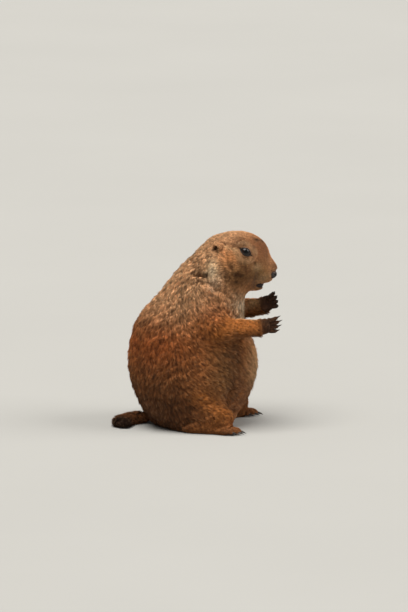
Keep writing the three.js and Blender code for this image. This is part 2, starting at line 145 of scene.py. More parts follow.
# The eye's opening, as half lengths over the ball, and the lids round it
EYE_OPENING = (6.2, 3.2)
EYE_CORNERS = 1.45
EYE_SLANT = 0.54
EYE_OUTWARD = (0.34, 0.9, 0.24)
LID_HEIGHT = 0.55
LID_BARE = 1.0
LID_REACH = 5.5
# The dark streak that runs out from the front corner of the eye, on the left side
EYE_STREAK = ((52.0, 21, 177.0), (53.9, 20.6, 176.0))
CHEEK_SPOTS = ((34.5, 28, 167.5), (40.4, 28, 156.8), (47, 25, 156.3), (41.5, 26, 149.5))

# The digits: places along each, its radii there, how far it runs over the claw, its arch and its height
# beside its width, and how far the palm or sole reaches before them
DIGIT_KNOTS = (0, 0.34, 0.68, 1.0)
DIGIT_RADII = (2.5, 2.4, 2.05, 1.8)
DIGIT_OVER_CLAW = 0.9
DIGIT_ARCH = {"hand": 1.5, "foot": 0.6}
DIGIT_HEIGHT = {"hand": 1.0, "foot": 1.3}
PALM_LENGTH = {"hand": 8.5, "foot": 6.5}
FOOT_BASE = np.array([-16.0, 0, 1.2])
DIGIT_DEPTH = 0.3
CLAW_SHARE = 0.78

# The skin's grid, how far each node swells to close the cuts, and the share of triangles kept
VOXEL = 1.0
WELD = 0.01
CUT_CLOSING = 0.35
SKIN_SHARE_KEPT = 0.62
# Rounds of mixing with the neighbours: the nodes' shares, then the shape, its seams and its lips
CLOSE_ROUNDS = 8
WIDE_ROUNDS = 52
SMOOTH_ROUNDS = 12
FILL_ROUNDS = 30
LIP_ROUNDS = 14
COLOUR_ROUNDS = 40
LIE_ROUNDS = 50
INSET_STAGES = 4
LEAST_DEPTH = 0.4
EAR_DEPTH = 0.15
EAR_FLATTENED = 0.16
# Start, end, reach and depth of each fold, with the Y of the left side
FOLDS = (
    ((24, 20.5, 187.8), (42, 23, 184.0), 1.5, 1.0),
    ((-1, 31.5, 158.6), (12, 34, 157.4), 2.6, 3.2),
    ((15, 35, 151), (21, 36, 145), 3.0, 1.6),
    ((31, 37, 33), (39, 41, 42), 4.5, 2.5),
)

# For each kind of node: how deep the coat stands over the skin, and how far the skin is smoothed. Then a
# tuft's length and width, how steeply it stands in degrees, how many grow on a square millimetre, and
# how strongly dark and pale tips mark the coat
KINDS = {
    "torso": (4.2, 1.0, 8.4, 0.57, 23, 2.5, 0.7),
    "neck": (3.6, 1.0, 6.4, 0.48, 25, 3.7, 0.6),
    "head": (2.2, 0.8, 4.2, 0.36, 22, 5.0, 0.35),
    "tail": (2.6, 0.8, 8.6, 0.56, 18, 4.0, 0.8),
    "ear": (0.4, 0.8, 1.7, 0.25, 16, 9.0, 0.2),
    "upper_arm": (3.4, 1.0, 6.6, 0.5, 24, 3.3, 0.6),
    "forearm": (2.2, 0.9, 5.0, 0.43, 22, 4.0, 0.35),
    "hand": (0.5, 0.35, 1.6, 0.27, 14, 9.5, 0.3),
    "thigh": (4.0, 1.0, 7.8, 0.55, 23, 2.7, 0.8),
    "shank": (2.5, 1.0, 5.0, 0.44, 22, 3.8, 0.4),
    "foot": (0.5, 0.35, 1.8, 0.29, 13, 7.0, 0.3),
}
KIND_OF_FLESH = np.array([kind_of(name) for name in FLESH])
COAT_DEPTH, SOFTNESS, LENGTH, WIDTH, STANDING, DENSITY, TICKING = np.array(
    [KINDS[kind] for kind in KIND_OF_FLESH]
).T.copy()
MUZZLE_DEPTH = 0.8
MUZZLE_LENGTH = 1.5
MUZZLE_WIDTH = 0.22
MUZZLE_DENSITY = 7.5
# How much longer and steeper the coat is under the forearms, behind the cheeks and on the belly
FRINGE = (4.0, 14)
RUFF = (1.8, 8)
BELLY = (1.5, 6)
TUFTS_PER_LOCK = 11
LOCK_PULL = 0.5
# How far along its length a tuft is seen, as the share at which it takes its colour
SHOWN_ALONG = 0.55
UV_PATCH = 0.003


# Mesh tools

class Web:
    """The edges of a mesh, which pass a value at each point on to its neighbours."""

    def __init__(self, edges, count):
        pairs = np.concatenate([edges, edges[:, ::-1]])
        pairs = pairs[np.argsort(pairs[:, 0], kind="stable")]
        degree = np.bincount(pairs[:, 0], minlength=count)
        order = np.arange(len(pairs)) - np.repeat(np.cumsum(degree) - degree, degree)
        self.rounds = [pairs[order == k].T for k in range(degree.max())]
        self.degree = np.maximum(degree, 1)[:, None].astype(np.float32)

    def average(self, values):
        """The mean over the neighbours of each point."""
        total = np.zeros_like(values)
        for point, neighbour in self.rounds:
            total[point] += values[neighbour]
        return total / self.degree

    def spread(self, values, rounds):
        """The values after that many rounds of mixing with the neighbours."""
        for _ in range(rounds):
            values = 0.5 * values + 0.5 * self.average(values)
        return values

    def smooth(self, points, weight, rounds):
        """The points with bumps taken off and the volume kept."""
        for _ in range(rounds):
            for push in (0.5, -0.53):
                points = points + push * weight * (self.average(points) - points)
        return points


def point_normals(points, triangles):
    """The outward direction at each point."""
    a, b, c = (points[triangles[:, k]] for k in range(3))
    across = np.cross(b - a, c - a)
    total = np.stack([
        sum(np.bincount(triangles[:, k], across[:, axis], len(points)) for k in range(3))
        for axis in range(3)
    ], 1)
    return unit(total)


def mesh_arrays(mesh):
    """Points, triangles and edges of a mesh."""
    points = np.empty(len(mesh.vertices) * 3, np.float32)
    mesh.vertices.foreach_get("co", points)
    mesh.calc_loop_triangles()
    triangles = np.empty(len(mesh.loop_triangles) * 3, np.int32)
    mesh.loop_triangles.foreach_get("vertices", triangles)
    edges = np.empty(len(mesh.edges) * 2, np.int32)
    mesh.edges.foreach_get("vertices", edges)
    return points.reshape(-1, 3).astype(float) / MM, triangles.reshape(-1, 3), edges.reshape(-1, 2)


def place_points(mesh, points):
    """Moves the points of a mesh to those places."""
    mesh.vertices.foreach_set("co", (points * MM).astype(np.float32).ravel())


@contextmanager
def edited(mesh):
    """The mesh in a form that bmesh can edit, written back at the end."""
    form = bmesh.new()
    form.from_mesh(mesh)
    form.verts.ensure_lookup_table()
    yield form
    form.to_mesh(mesh)
    form.free()


def in_scene(name, data):
    """A new object in the scene, with that mesh, camera or light."""
    piece = bpy.data.objects.new(name, data)
    bpy.context.scene.collection.objects.link(piece)
    return piece


def solid(name, points, triangles):
    """A mesh object from points and triangles."""
    mesh = bpy.data.meshes.new(name)
    mesh.vertices.add(len(points))
    place_points(mesh, points)
    mesh.loops.add(triangles.size)
    mesh.loops.foreach_set("vertex_index", triangles.astype(np.int32).ravel())
    mesh.polygons.add(len(triangles))
    mesh.polygons.foreach_set("loop_start", np.arange(0, triangles.size, 3, dtype=np.int32))
    mesh.polygons.foreach_set("use_smooth", np.ones(len(triangles), bool))
    mesh.update(calc_edges=True)
    return in_scene(name, mesh)


def with_modifiers(piece):
    """The mesh that the piece's modifiers make."""
    return bpy.data.meshes.new_from_object(piece.evaluated_get(bpy.context.evaluated_depsgraph_get()))


def apply_modifiers(piece):
    """Makes the shape that the modifiers give the piece's own."""
    piece.data = with_modifiers(piece)
    piece.modifiers.clear()
    piece.data.polygons.foreach_set("use_smooth", np.ones(len(piece.data.polygons), bool))


def tree_of(points):
    """A search tree that finds the nearest of the points."""
    tree = KDTree(len(points))
    for index, point in enumerate(points):
        tree.insert(point, index)
    tree.balance()
    return tree


def add_values(piece, name, values):
    """Stores three numbers for each point of the piece, for its material to read."""
    layer = piece.data.attributes.new(name, "FLOAT_VECTOR", "POINT")
    layer.data.foreach_set("vector", values.astype(np.float32).ravel())


def finish_piece(piece, material, nodes=()):
    """Gives a piece its material and its body, and hides the imported nodes that it stands for."""
    piece.data.materials.clear()
    piece.data.materials.append(material)
    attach(piece, "root")
    if nodes:
        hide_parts(*nodes)


def grid_faces(rows, columns):
    """Triangles of a tube of points, ring after ring, closed round each ring."""
    row, column = np.meshgrid(np.arange(rows - 1), np.arange(columns), indexing="ij")
    a = (row * columns + column).ravel()
    b = (row * columns + (column + 1) % columns).ravel()
    return np.concatenate([np.stack([a, b, b + columns], 1), np.stack([a, b + columns, a + columns], 1)])


def ball(rows, columns):
    """Points of a round ball with its poles on the X axis, and its triangles."""
    polar = np.linspace(0, math.pi, rows)[1:-1]
    turn = np.linspace(0, 2 * math.pi, columns, endpoint=False)
    p, t = np.meshgrid(polar, turn, indexing="ij")
    rings = np.stack([np.cos(p), np.sin(p) * np.cos(t), np.sin(p) * np.sin(t)], -1).reshape(-1, 3)
    points = np.concatenate([rings, [[1, 0, 0]], [[-1, 0, 0]]])
    front, back = len(rings), len(rings) + 1
    last = (rows - 3) * columns
    ring = np.arange(columns)
    after = (ring + 1) % columns
    caps = [
        np.stack([np.full(columns, front), ring, after], 1),
        np.stack([np.full(columns, back), last + after, last + ring], 1),
    ]
    return points, np.concatenate([grid_faces(rows - 2, columns)[:, ::-1], *caps])


def facing_out(points, triangles):
    """The triangles of a closed form, turned so that they face outward."""
    a, b, c = (points[triangles[:, k]] for k in range(3))
    return triangles if (np.cross(a, b) * c).sum() > 0 else triangles[:, ::-1]


def ripple(points, wavelength, seed, waves=6):
    """A smooth random field around 0, mostly within -1 and 1, with bumps about that wide."""
    random = np.random.default_rng(seed)
    total = np.zeros(len(points))
    for _ in range(waves):
        direction = unit(random.normal(size=3))
        pitch = wavelength * random.uniform(0.7, 1.5)
        total += np.sin(points @ direction * (2 * math.pi / pitch) + random.uniform(0, 2 * math.pi))
    return total / math.sqrt(waves)


def near(points, place, reach):
    """1 at a place on either side of the animal, falling to 0 at about twice the reach."""
    apart = np.stack([
        points[:, 0] - place[0], np.abs(points[:, 1]) - abs(place[1]), points[:, 2] - place[2]
    ], 1)
    return np.exp(-((apart / reach) ** 2).sum(1))


def near_line(points, start, end, reach):
    """1 along a line on either side of the animal, falling to 0 at about twice the reach."""
    mirrored = points * [1, 0, 1] + np.abs(points) * [0, 1, 0]
    start, end = np.asarray(start, float), np.asarray(end, float)
    along = np.clip((mirrored - start) @ (end - start) / ((end - start) @ (end - start)), 0, 1)
    apart = mirrored - start - along[:, None] * (end - start)
    return np.exp(-(apart**2).sum(1) / reach**2)


# Fingers, from the wrist to each packed claw

def claw_line(node):
    """The middle of a packed claw's flat end, and which way the claw points."""
    points, _, _ = mesh_arrays(frame["nodes"][node].data)
    centre = points.mean(0)
    along = np.linalg.svd(points - centre, full_matrices=False)[2][0]
    reach = (points - centre) @ along
    apart = np.linalg.norm(points - centre - reach[:, None] * along, axis=1)
    if apart[reach > 0].mean() > apart[reach < 0].mean():
        along, reach = -along, -reach
    return points[reach < reach.min() + 0.6].mean(0), along


CLAWS = {
    (limb, side): [claw_line(f"{limb}_{side}_claw_{k}") for k in range(1, 6)]
    for limb in ("hand", "foot")
    for side in SIDES
}


def digit_base(limb, side):
    """Where the digits of a hand or foot run together, the way they point, and outward from its back."""
    tips = np.array([root for root, _ in CLAWS[limb, side][1:]])
    base = WRIST[side] if limb == "hand" else tips.mean(0) + FOOT_BASE
    forward = unit(tips.mean(0) - base)
    back = unit(np.cross(tips[-1] - tips[0], forward))
    outward = [0, SIDES[side], 0] if limb == "hand" else UP
    return base, forward, back * np.sign(back @ outward)


def digit(limb, side, order):
    """Points and triangles of one finger or toe, arched over from inside the palm to its claw."""
    root, along = CLAWS[limb, side][order]
    base, _, back = digit_base(limb, side)
    spread = root - np.mean([place for place, _ in CLAWS[limb, side][1:]], axis=0)
    thumb = limb == "hand" and order == 0
    if thumb:
        spread = 0 * spread
    knots = np.array([
        base + 0.3 * (root - base),
        base + 0.52 * (root - base) + 0.16 * spread + DIGIT_ARCH[limb] * back,
        base + 0.78 * (root - base) + 0.1 * spread + 1.1 * DIGIT_ARCH[limb] * back,
        root + DIGIT_OVER_CLAW * along,
    ])
    points, faces = ball(26, 16)
    t = (1 + points[:, 0]) / 2
    bend = np.linalg.solve(np.vander(DIGIT_KNOTS), knots)
    centre = np.vander(t, 4) @ bend
    tangent = unit(np.stack([3 * t**2, 2 * t, np.ones_like(t), np.zeros_like(t)], 1) @ bend)
    across = unit(np.cross(back, tangent))
    over = DIGIT_HEIGHT[limb] * np.cross(tangent, across)
    round_off = np.sqrt(1 - np.abs(points[:, 0]) ** 7)
    thick = np.interp(t, DIGIT_KNOTS, DIGIT_RADII) * round_off * (0.8 if thumb else 1)
    turn = points[:, 1:] / np.maximum(np.hypot(points[:, 1], points[:, 2]), 1e-6)[:, None]
    placed = centre + thick[:, None] * (turn[:, :1] * across + turn[:, 1:] * over)
    return placed, facing_out(placed, faces)


def draw_in(points, limb, side):
    """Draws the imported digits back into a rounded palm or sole, to make room for slimmer ones."""
    base, forward, _ = digit_base(limb, side)
    offset = points - base
    ahead = offset @ forward
    beyond = np.maximum(ahead - PALM_LENGTH[limb], 0)
    beside = offset - ahead[:, None] * forward
    narrowed = (1 - 0.5 * step(beyond, 0, 10))[:, None] * beside
    return base + (ahead - 0.6 * beyond)[:, None] * forward + narrowed


def at_knuckles(points):
    """1 where the digits leave the palms and soles, falling to 0 within a few millimetres."""
    total = np.zeros(len(points))
    for limb, side in CLAWS:
        base, forward, _ = digit_base(limb, side)
        middle_of = base + (PALM_LENGTH[limb] + 1) * forward
        along = (points - middle_of) @ forward
        total += (far_from(points, middle_of) < 13) * hump(along, 0, 2.5)
    return np.minimum(total, 1)


# Skin: the shape

def swollen_flesh():
    """All flesh nodes, eyes and nose as one mesh, each swollen enough to close the thin cuts."""
    flesh = bpy.data.meshes.new("flesh")
    with edited(flesh) as joined:
        for name in FLESH + ["nose"] + [f"eye_{side}" for side in SIDES]:
            mesh = frame["nodes"][name].data.copy()
            with edited(mesh) as part:
                bmesh.ops.remove_doubles(part, verts=part.verts, dist=WELD * MM)
                part.normal_update()
                offsets = [v.normal * CUT_CLOSING * MM for v in part.verts]
                for v, offset in zip(part.verts, offsets):
                    v.co += offset
            if kind_of(name) in DIGIT_ARCH:
                place_points(mesh, draw_in(mesh_arrays(mesh)[0], *name.split("_")))
            joined.from_mesh(mesh)
            bpy.data.meshes.remove(mesh)
    return flesh


def remeshed(mesh):
    """One closed surface of even quads round the mesh."""
    holder = in_scene("remesh", mesh)
    modifier = holder.modifiers.new("voxels", "REMESH")
    modifier.mode = "VOXEL"
    modifier.voxel_size = VOXEL * MM
    even = with_modifiers(holder)
    bpy.data.objects.remove(holder)
    return even


def keep_outer_shell(mesh):
    """Drops the small closed surfaces that the thin cuts leave inside."""
    points, _, edges = mesh_arrays(mesh)
    label = np.arange(len(points))
    while True:
        lowest = np.minimum(label[edges[:, 0]], label[edges[:, 1]])
        found = label.copy()
        np.minimum.at(found, edges[:, 0], lowest)
        np.minimum.at(found, edges[:, 1], lowest)
        found = found[found]
        if (found == label).all():
            break
        label = found
    main = np.bincount(label).argmax()
    with edited(mesh) as shell:
        loose = [shell.verts[k] for k in np.nonzero(label != main)[0]]
        bmesh.ops.delete(shell, geom=loose, context="VERTS")


def with_digits(mesh):
    """The surface joined with the fingers and toes."""
    digits = bpy.data.collections.new("digits")
    for limb, side in CLAWS:
        for order in range(len(CLAWS[limb, side])):
            digits.objects.link(solid(f"digit_{limb}_{side}_{order}", *digit(limb, side, order)))
    holder = in_scene("join", mesh)
    join = holder.modifiers.new("join", "BOOLEAN")
    join.operation = "UNION"
    join.operand_type = "COLLECTION"
    join.collection = digits
    join.solver = "MANIFOLD"
    joined = with_modifiers(holder)
    for piece in [holder, *digits.objects]:
        bpy.data.objects.remove(piece)
    bpy.data.collections.remove(digits)
    return joined


def refine(mesh, chosen):
    """Splits the quads whose points are all chosen."""
    inside = chosen(mesh_arrays(mesh)[0])
    with edited(mesh) as form:
        faces = [f for f in form.faces if all(inside[v.index] for v in f.verts)]
        edges = list({e for f in faces for e in f.edges})
        bmesh.ops.subdivide_edges(form, edges=edges, cuts=1, use_grid_fill=True)


def nearest_nodes(points):
    """Which flesh node each point lies on, as an index into FLESH."""
    places = []
    owners = []
    for index, name in enumerate(FLESH):
        corners, triangles, _ = mesh_arrays(frame["nodes"][name].data)
        centres = corners[triangles].mean(1)
        places += [corners, centres]
        owners += [index] * (len(corners) + len(centres))
    tree = tree_of(np.concatenate(places))
    return np.array(owners)[[tree.find(p)[1] for p in points]]


# Eyes and lids, as shapes round the middle of the eyeball

def eye_axes(side):
    """Outward, along the slit to the front, and up across it."""
    way = SIDES[side]
    outward = unit([EYE_OUTWARD[0], EYE_OUTWARD[1] * way, EYE_OUTWARD[2]])
    ahead = unit(np.cross(outward, UP) * way)
    above = unit(np.cross(ahead, outward) * way)
    along = math.cos(EYE_SLANT) * ahead - math.sin(EYE_SLANT) * above
    across = math.sin(EYE_SLANT) * ahead + math.cos(EYE_SLANT) * above
    return outward, along, across


def from_opening(points, side):
    """Distance of each point from the edge of the eye's opening, over the ball, negative inside it."""
    outward, along, across = eye_axes(side)
    ray = unit(points - EYE[side])
    facing = np.clip(ray @ outward, -1, 1)
    x, y = np.abs(ray @ along), np.abs(ray @ across)
    flat = np.hypot(x, y) + 1e-6
    half_long, half_high = EYE_OPENING
    edge = (x / flat / half_long) ** EYE_CORNERS + (y / flat / half_high) ** EYE_CORNERS
    reach = EYE_RADIUS * np.arccos(facing)
    close = far_from(points, EYE[side]) < EYE_RADIUS + 7
    return np.where((facing > -0.3) & close, reach - edge ** (-1 / EYE_CORNERS), LID_REACH + 2)


def eye_height(s):
    """Height of the lids over the ball, by the distance from the opening's edge."""
    rim = step(s, -0.3, 0.35) * LID_HEIGHT
    return rim - 0.3 * hump(s, 1.7, 0.5) + 0.3 * step(s, 1.6, 3.2) - 2.2 * step(-s, 0.0, 0.7)


def shape_lids(points):
    """Sinks the skin under each eyeball inside the opening and raises the lids round it."""
    for side in SIDES:
        s = from_opening(points, side)
        offset = points - EYE[side]
        distance = np.linalg.norm(offset, axis=1)
        hold = (1 - step(s, 2.0, LID_REACH)) * (1 - step(distance, EYE_RADIUS + 1.5, EYE_RADIUS + 4.5))
        wanted = distance + hold * (EYE_RADIUS + eye_height(s) - distance)
        points = EYE[side] + offset * (wanted / np.maximum(distance, 1e-6))[:, None]
    return points


def from_nose(points):
    """Distance from the middle of the nose pad, 1 on its surface."""
    return far_from(points, NOSE, NOSE_SIZE)


def shape_nose(points):
    """Sinks the skin inside the nose pad, which covers its front."""
    r = from_nose(points)
    hold = step(points[:, 0], NOSE[0] - 3.4, NOSE[0] - 1.0) * (1 - step(r, 1.2, 1.5))
    sunk = r + hold * (np.minimum(r, 0.25) - r)
    return NOSE + (points - NOSE) * (sunk / r)[:, None]


def near_face_detail(points):
    """The points round the eyes and mouth, which need a finer mesh."""
    close = far_from(points, MOUTH) < 13
    for side in SIDES:
        close |= from_opening(points, side) < LID_REACH
    return close


def near_ears(points):
    """The points on the ears."""
    return np.min([far_from(points, EAR[side]) for side in SIDES], 0) < 9.5


def near_eyes(points):
    """The points at the rims of the lids, which need the finest mesh."""
    return np.min([from_opening(points, side) for side in SIDES], 0) < 2.2


def fill_seams(points, web, share):
    """Rounds the valleys where the arms and thighs leave the trunk."""
    seam = 0
    for kind in ("upper_arm", "thigh"):
        own = share[:, KIND_OF_FLESH == kind].sum(1, keepdims=True)
        seam = seam + 4 * own * (1 - own)
    for _ in range(FILL_ROUNDS):
        points = points + 0.5 * np.minimum(seam, 1) * (web.average(points) - points)
    return points


def shape_folds(points, outside, normals):
    """Sinks the folds of the loose skin, whose places are given on the outside of the coat."""
    sunk = sum(depth * near_line(outside, start, end, reach) for start, end, reach, depth in FOLDS)
    return points - sunk[:, None] * normals


def build_skin():
    """The skin's points and where the coat's outside is over them, its triangles and web, and its share of
    each flesh node, widely and closely blended."""
    mesh = remeshed(swollen_flesh())
    keep_outer_shell(mesh)
    mesh = with_digits(mesh)
    for chosen in (near_ears, near_face_detail, near_eyes):
        refine(mesh, chosen)
    points, triangles, edges = mesh_arrays(mesh)
    web = Web(edges, len(points))
    sharp = np.eye(len(FLESH), dtype=np.float32)[nearest_nodes(points)]
    close_share = web.spread(sharp, CLOSE_ROUNDS)
    share = web.spread(close_share, WIDE_ROUNDS)

    softness = (close_share @ SOFTNESS)[:, None]
    points = web.smooth(points, softness, SMOOTH_ROUNDS)
    outside = points
    depth = share @ COAT_DEPTH
    forward = step(points[:, 0], 30, 62) * share[:, FLESH.index("head")]
    depth = toward(depth, MUZZLE_DEPTH, forward)
    small = close_share @ np.isin(KIND_OF_FLESH, ("hand", "foot")).astype(float)
    depth = np.maximum(depth * (1 - small), LEAST_DEPTH)
    round_eyes = 1 - step(far_from(np.abs(points), np.abs(EYE["left"])), 8, 15)
    lips = near(points, MOUTH, 9)
    depth = depth * (1 - 0.6 * round_eyes) * (1 - 0.6 * lips)
    depth = depth * (0.12 + 0.88 * step(points[:, 2], 0.5, 11)) + CUT_CLOSING
    depth = toward(depth, DIGIT_DEPTH, step(small, 0.3, 0.9))
    ears = close_share @ (KIND_OF_FLESH == "ear").astype(float)
    depth = toward(depth, EAR_DEPTH, step(ears, 0.1, 0.6))
    for _ in range(INSET_STAGES):
        points = points - (depth / INSET_STAGES)[:, None] * point_normals(points, triangles)
        points = web.smooth(points, 0.6 * softness, 2)
    points = fill_seams(points, web, share)
    around_ears = near(points, EAR["left"], 8)
    rounded = np.maximum(np.maximum(lips, 0.6 * around_ears), 0.5 * at_knuckles(points))[:, None]
    for _ in range(LIP_ROUNDS):
        points = points + 0.5 * rounded * (web.average(points) - points)
    folded = shape_folds(points, outside, point_normals(points, triangles))
    on_ear = step(ears, 0.02, 0.3)
    points = mix(folded, points, on_ear)
    points[:, 2] -= EAR_FLATTENED * on_ear * np.maximum(points[:, 2] - EAR["left"][2] + 4, 0)
    return shape_lids(shape_nose(points)), outside, triangles, web, share, close_share


SKIN_POINTS, OUTSIDE, SKIN_TRIANGLES, SKIN_WEB, SHARE, CLOSE_SHARE = build_skin()


# Markings, painted shade and painted light

def srgb(red, green, blue):
    """A colour in linear light from its 0 to 255 values."""
    value = np.array([red, green, blue]) / 255
    return np.where(value < 0.04045, value / 12.92, ((value + 0.055) / 1.055) ** 2.4)


TAWNY = srgb(182, 116, 66)
RUST = srgb(184, 98, 48)
CHESTNUT = srgb(108, 52, 18)
BRIGHT = srgb(212, 132, 62)
SANDY = srgb(240, 188, 140)
CREAM = srgb(236, 204, 156)
PALE = srgb(244, 222, 194)
OLIVE = srgb(160, 118, 68)
UMBER = srgb(92, 56, 32)
SOOT = srgb(26, 19, 15)
DARK_FLESH_AND_MOUTH_SHADE = srgb(46, 25, 22)


def share_of(*kinds):
    """How much each point of the skin belongs to these kinds of node."""
    return SHARE[:, np.isin(KIND_OF_FLESH, kinds)].sum(1)


def in_mouth(points):
    """Whether a point lies between the lips."""
    return (((points - MOUTH) / [8.5, 6.5, 2.9]) ** 2).sum(1) < 1


def in_ear(points):
    """Whether a point lies in the hollow of an ear."""
    return np.min([far_from(points, EAR[side], EAR_SIZE) for side in SIDES], 0) < 0.74


# Pigment, amount, place and reach of patches of coat, with the Y of the left side
ELBOW_PATCHES = (
    (RUST, 0.8, (20, 50, 112), (16, 18, 14)),
    (UMBER, 0.6, (20, 50, 113), (13, 18, 10)),
)
FACE_PATCHES = (
    (BRIGHT, 0.55, (34, 28, 174), (13, 14, 12)),
    (CHESTNUT, 0.85, (61, 0, 180), (12, 24, 15)),
    (CHESTNUT, 0.5, (46, 20, 189), (14, 12, 8)),
    (OLIVE, 0.75, (44, 28, 156), (17, 16, 13)),
    (OLIVE, 0.7, (64, 14, 158), (9, 12, 9)),
    (CREAM, 0.45, (60, 16, 163), (4.5, 6, 4.5)),
    (CREAM, 0.35, (66, 10, 152), (7, 8, 4)),
    (UMBER, 0.7, (75, 0, 164), (9, 8, 5)),
    (UMBER, 0.55, (44, 28, 156), (17, 16, 13)),
)
RUFF_PATCHES = (
    (CREAM, 0.9, (16, 32, 162), (6.5, 9, 12)),
    (PALE, 0.4, (16, 32, 162), (5.5, 9, 11)),
    (PALE, 0.35, (20, 36, 150), (7, 9, 9)),
)
# Pigment, amount, ends and reach of lines
# The brow and neck lines are painted light and shade: painted shade in the crease over the eye, a painted
# highlight along the brow below it, and a painted shadow in the fold of the neck.
BROW_AND_NECK_PAINTED_LIGHT = (
    (UMBER, 0.5, (24, 20.5, 188.4), (39, 22.5, 185.8), 1.6),
    (CREAM, 0.35, (28, 22.5, 184.5), (40, 24.5, 181.5), 1.6),
    (SOOT, 0.92, (1.5, 32, 158.3), (11, 34, 157.6), 2.3),
)
LIP_LINES = (
    (SOOT, 0.85, (54, 9, 145), (64, 5, 147), 1.0),
    (SOOT, 0.7, (54, 9, 145), (63, 4, 140.5), 1.0),
)


def patches(p, rows):
    """The markings of a table of patches."""
    for pigment, amount, place, reach in rows:
        yield pigment, amount * near(p, place, reach)


def lines(p, rows):
    """The markings of a table of lines."""
    for pigment, amount, start, end, reach in rows:
        yield pigment, amount * near_line(p, start, end, reach)


def body_markings_and_painted_light(p, normals):
    """Pairs of a pigment and how much of it covers each point, in order, on the body: its markings, with
    painted shade and painted light.
    """
    x, y, z = p.T
    torso, forearm, hand, foot, tail = map(share_of, ("torso", "forearm", "hand", "foot", "tail"))
    chest = share_of("torso", "neck")
    behind = step(-normals[:, 0], -0.55, 0.35)
    beside = step(np.abs(y), 16, 34)
    patchy = 0.5 + 0.5 * ripple(p, 24, SEED + 5)
    upper = share_of("torso", "neck", "head", "ear", "upper_arm")
    # Paler toward the top of the body: in part the coat's own colour, in part painted light from above.
    yield SANDY, 0.95 * step(z, 88, 142) * (0.4 + 0.6 * behind) * upper
    yield RUST, 0.75 * hump(z, 84, 22) * behind * torso * (0.6 + 0.4 * patchy)
    yield from patches(p, ELBOW_PATCHES)
    # Darker toward the bottom of the trunk and thighs: in part the coat's own colour, in part painted shade
    # of the lower body.
    yield UMBER, 0.88 * step(-z, -92, -26) * (0.55 + 0.45 * behind) * share_of("torso", "thigh")
    yield OLIVE, 0.7 * near(p, (36, 46, 66), (18, 22, 34)) * (0.6 + 0.4 * patchy)
    # Darker on the side of the belly, under the forearm and above the thigh: in part the coat's own colour,
    # in part painted shade.
    yield UMBER, 0.7 * near(p, (42, 38, 82), (18, 20, 16)) * beside
    yield UMBER, 0.7 * near(p, (45, 38, 54), (20, 26, 34)) * beside
    yield CREAM, 0.5 * step(x, 48, 60) * torso
    # The pale chest and throat: the coat's own cream colour, made paler as painted light against the shade
    # of the head and arms.
    yield CREAM, 0.85 * near(p, (50, 0, 124), (20, 32, 20)) * chest
    yield PALE, 0.85 * near(p, (50, 0, 122), (18, 26, 18)) * chest
    yield BRIGHT, 0.9 * forearm + 0.3 * share_of("upper_arm") * step(-z, -130, -106)
    # A paler line along the top of the knee: in part the coat's own colour, in part painted highlight.
    yield BRIGHT, 0.6 * near_line(p, (10, 56, 36), (33, 54, 22), 8)
    yield BRIGHT, 0.3 * share_of("shank")
    yield UMBER, 0.35 * share_of("shank", "thigh") * step(-z, -30, -8)
    yield TAWNY, 0.5 * foot
    # The feet a darker brown: in part the coat's own colour, in part painted shade.
    yield UMBER, 0.45 * foot
    inward = step(-normals[:, 1] * np.sign(y), -0.1, 0.5)
    yield UMBER, 0.15 * forearm
    # Painted light: the inner, upward-facing side of each forearm is made pale.
    yield CREAM, 0.85 * forearm * inward * step(normals[:, 2], -0.5, 0.2)
    # Painted shade: the underside of each forearm is made dark.
    yield UMBER, 0.8 * forearm * step(-normals[:, 2], 0.2, 0.75)
    for side in SIDES:
        yield UMBER, 0.8 * np.exp(-(((p - WRIST[side] - [5, 0, 0]) / 7.5) ** 2).sum(1))
    yield UMBER, hand
    yield SOOT, 0.4 * hand
    yield UMBER, 0.85 * tail
    yield SOOT, 0.85 * tail * step(-y, 23, 32)


def face_markings_and_painted_light(p):
    """Pairs of a pigment and how much of it covers each point, in order, on the head and neck: its
    markings, with painted shade and painted light.
    """
    x, y, _ = p.T
    blotch = step(ripple(p, 5.0, SEED + 6), 0.1, 0.7)
    speckle = step(ripple(p, 4.6, SEED + 8), 0.3, 0.9)
    yield from patches(p, FACE_PATCHES)
    yield UMBER, 0.95 * blotch * near(p, (40, 29, 160), (13, 13, 12))
    for spot in CHEEK_SPOTS:
        yield SOOT, 0.6 * near(p, spot, (2.2, 3.5, 2.0))
    yield from patches(p, RUFF_PATCHES)
    yield UMBER, 0.4 * speckle * (
        near(p, (4, 32, 165), (16, 16, 24)) + near(p, (-12, 36, 140), (26, 20, 22))
    )
    yield from lines(p, BROW_AND_NECK_PAINTED_LIGHT)
    yield SOOT, 0.97 * near(p, (58, 7, 190.3), (2.7, 2.4, 2.2)) * (y < 0)
    yield SOOT, 0.95 * near(p, (63.3, 0, 187.9), (2.0, 2.4, 2.0))
    yield SOOT, 0.9 * near(p, (58.5, 18.6, 168.6), (1.2, 1.6, 1.2)) * (y < 0)
    yield SOOT, 0.9 * near(p, NOSE + [-4.5, 5, -1.5], (3.2, 4.5, 3.2))
    for side in SIDES:
        s = from_opening(p, side)
        yield CREAM, 0.25 * hump(s, 3.4, 1.3)
        yield SOOT, 0.97 * step(-s, -1.4, -0.5)
    yield SOOT, 0.7 * near_line(p, *EYE_STREAK, 0.9)
    # Painted light and shade on the ears: the front of each ear paler, in part as painted light on its rim,
    # a painted shadow behind and under the ear, and painted shade in its hollow.
    yield SANDY, 0.4 * share_of("ear") * step(x, EAR["left"][0] - 1, EAR["left"][0] + 2)
    yield SOOT, 0.85 * near(p, EAR["left"] + [-2.5, -1.5, -3.5], (3.0, 3.5, 3.5))
    yield SOOT, 0.95 * in_ear(p)
    yield from lines(p, LIP_LINES)
    # Between the lips: dark flesh, made darker still as painted shade inside the open mouth.
    yield DARK_FLESH_AND_MOUTH_SHADE, in_mouth(p).astype(float)


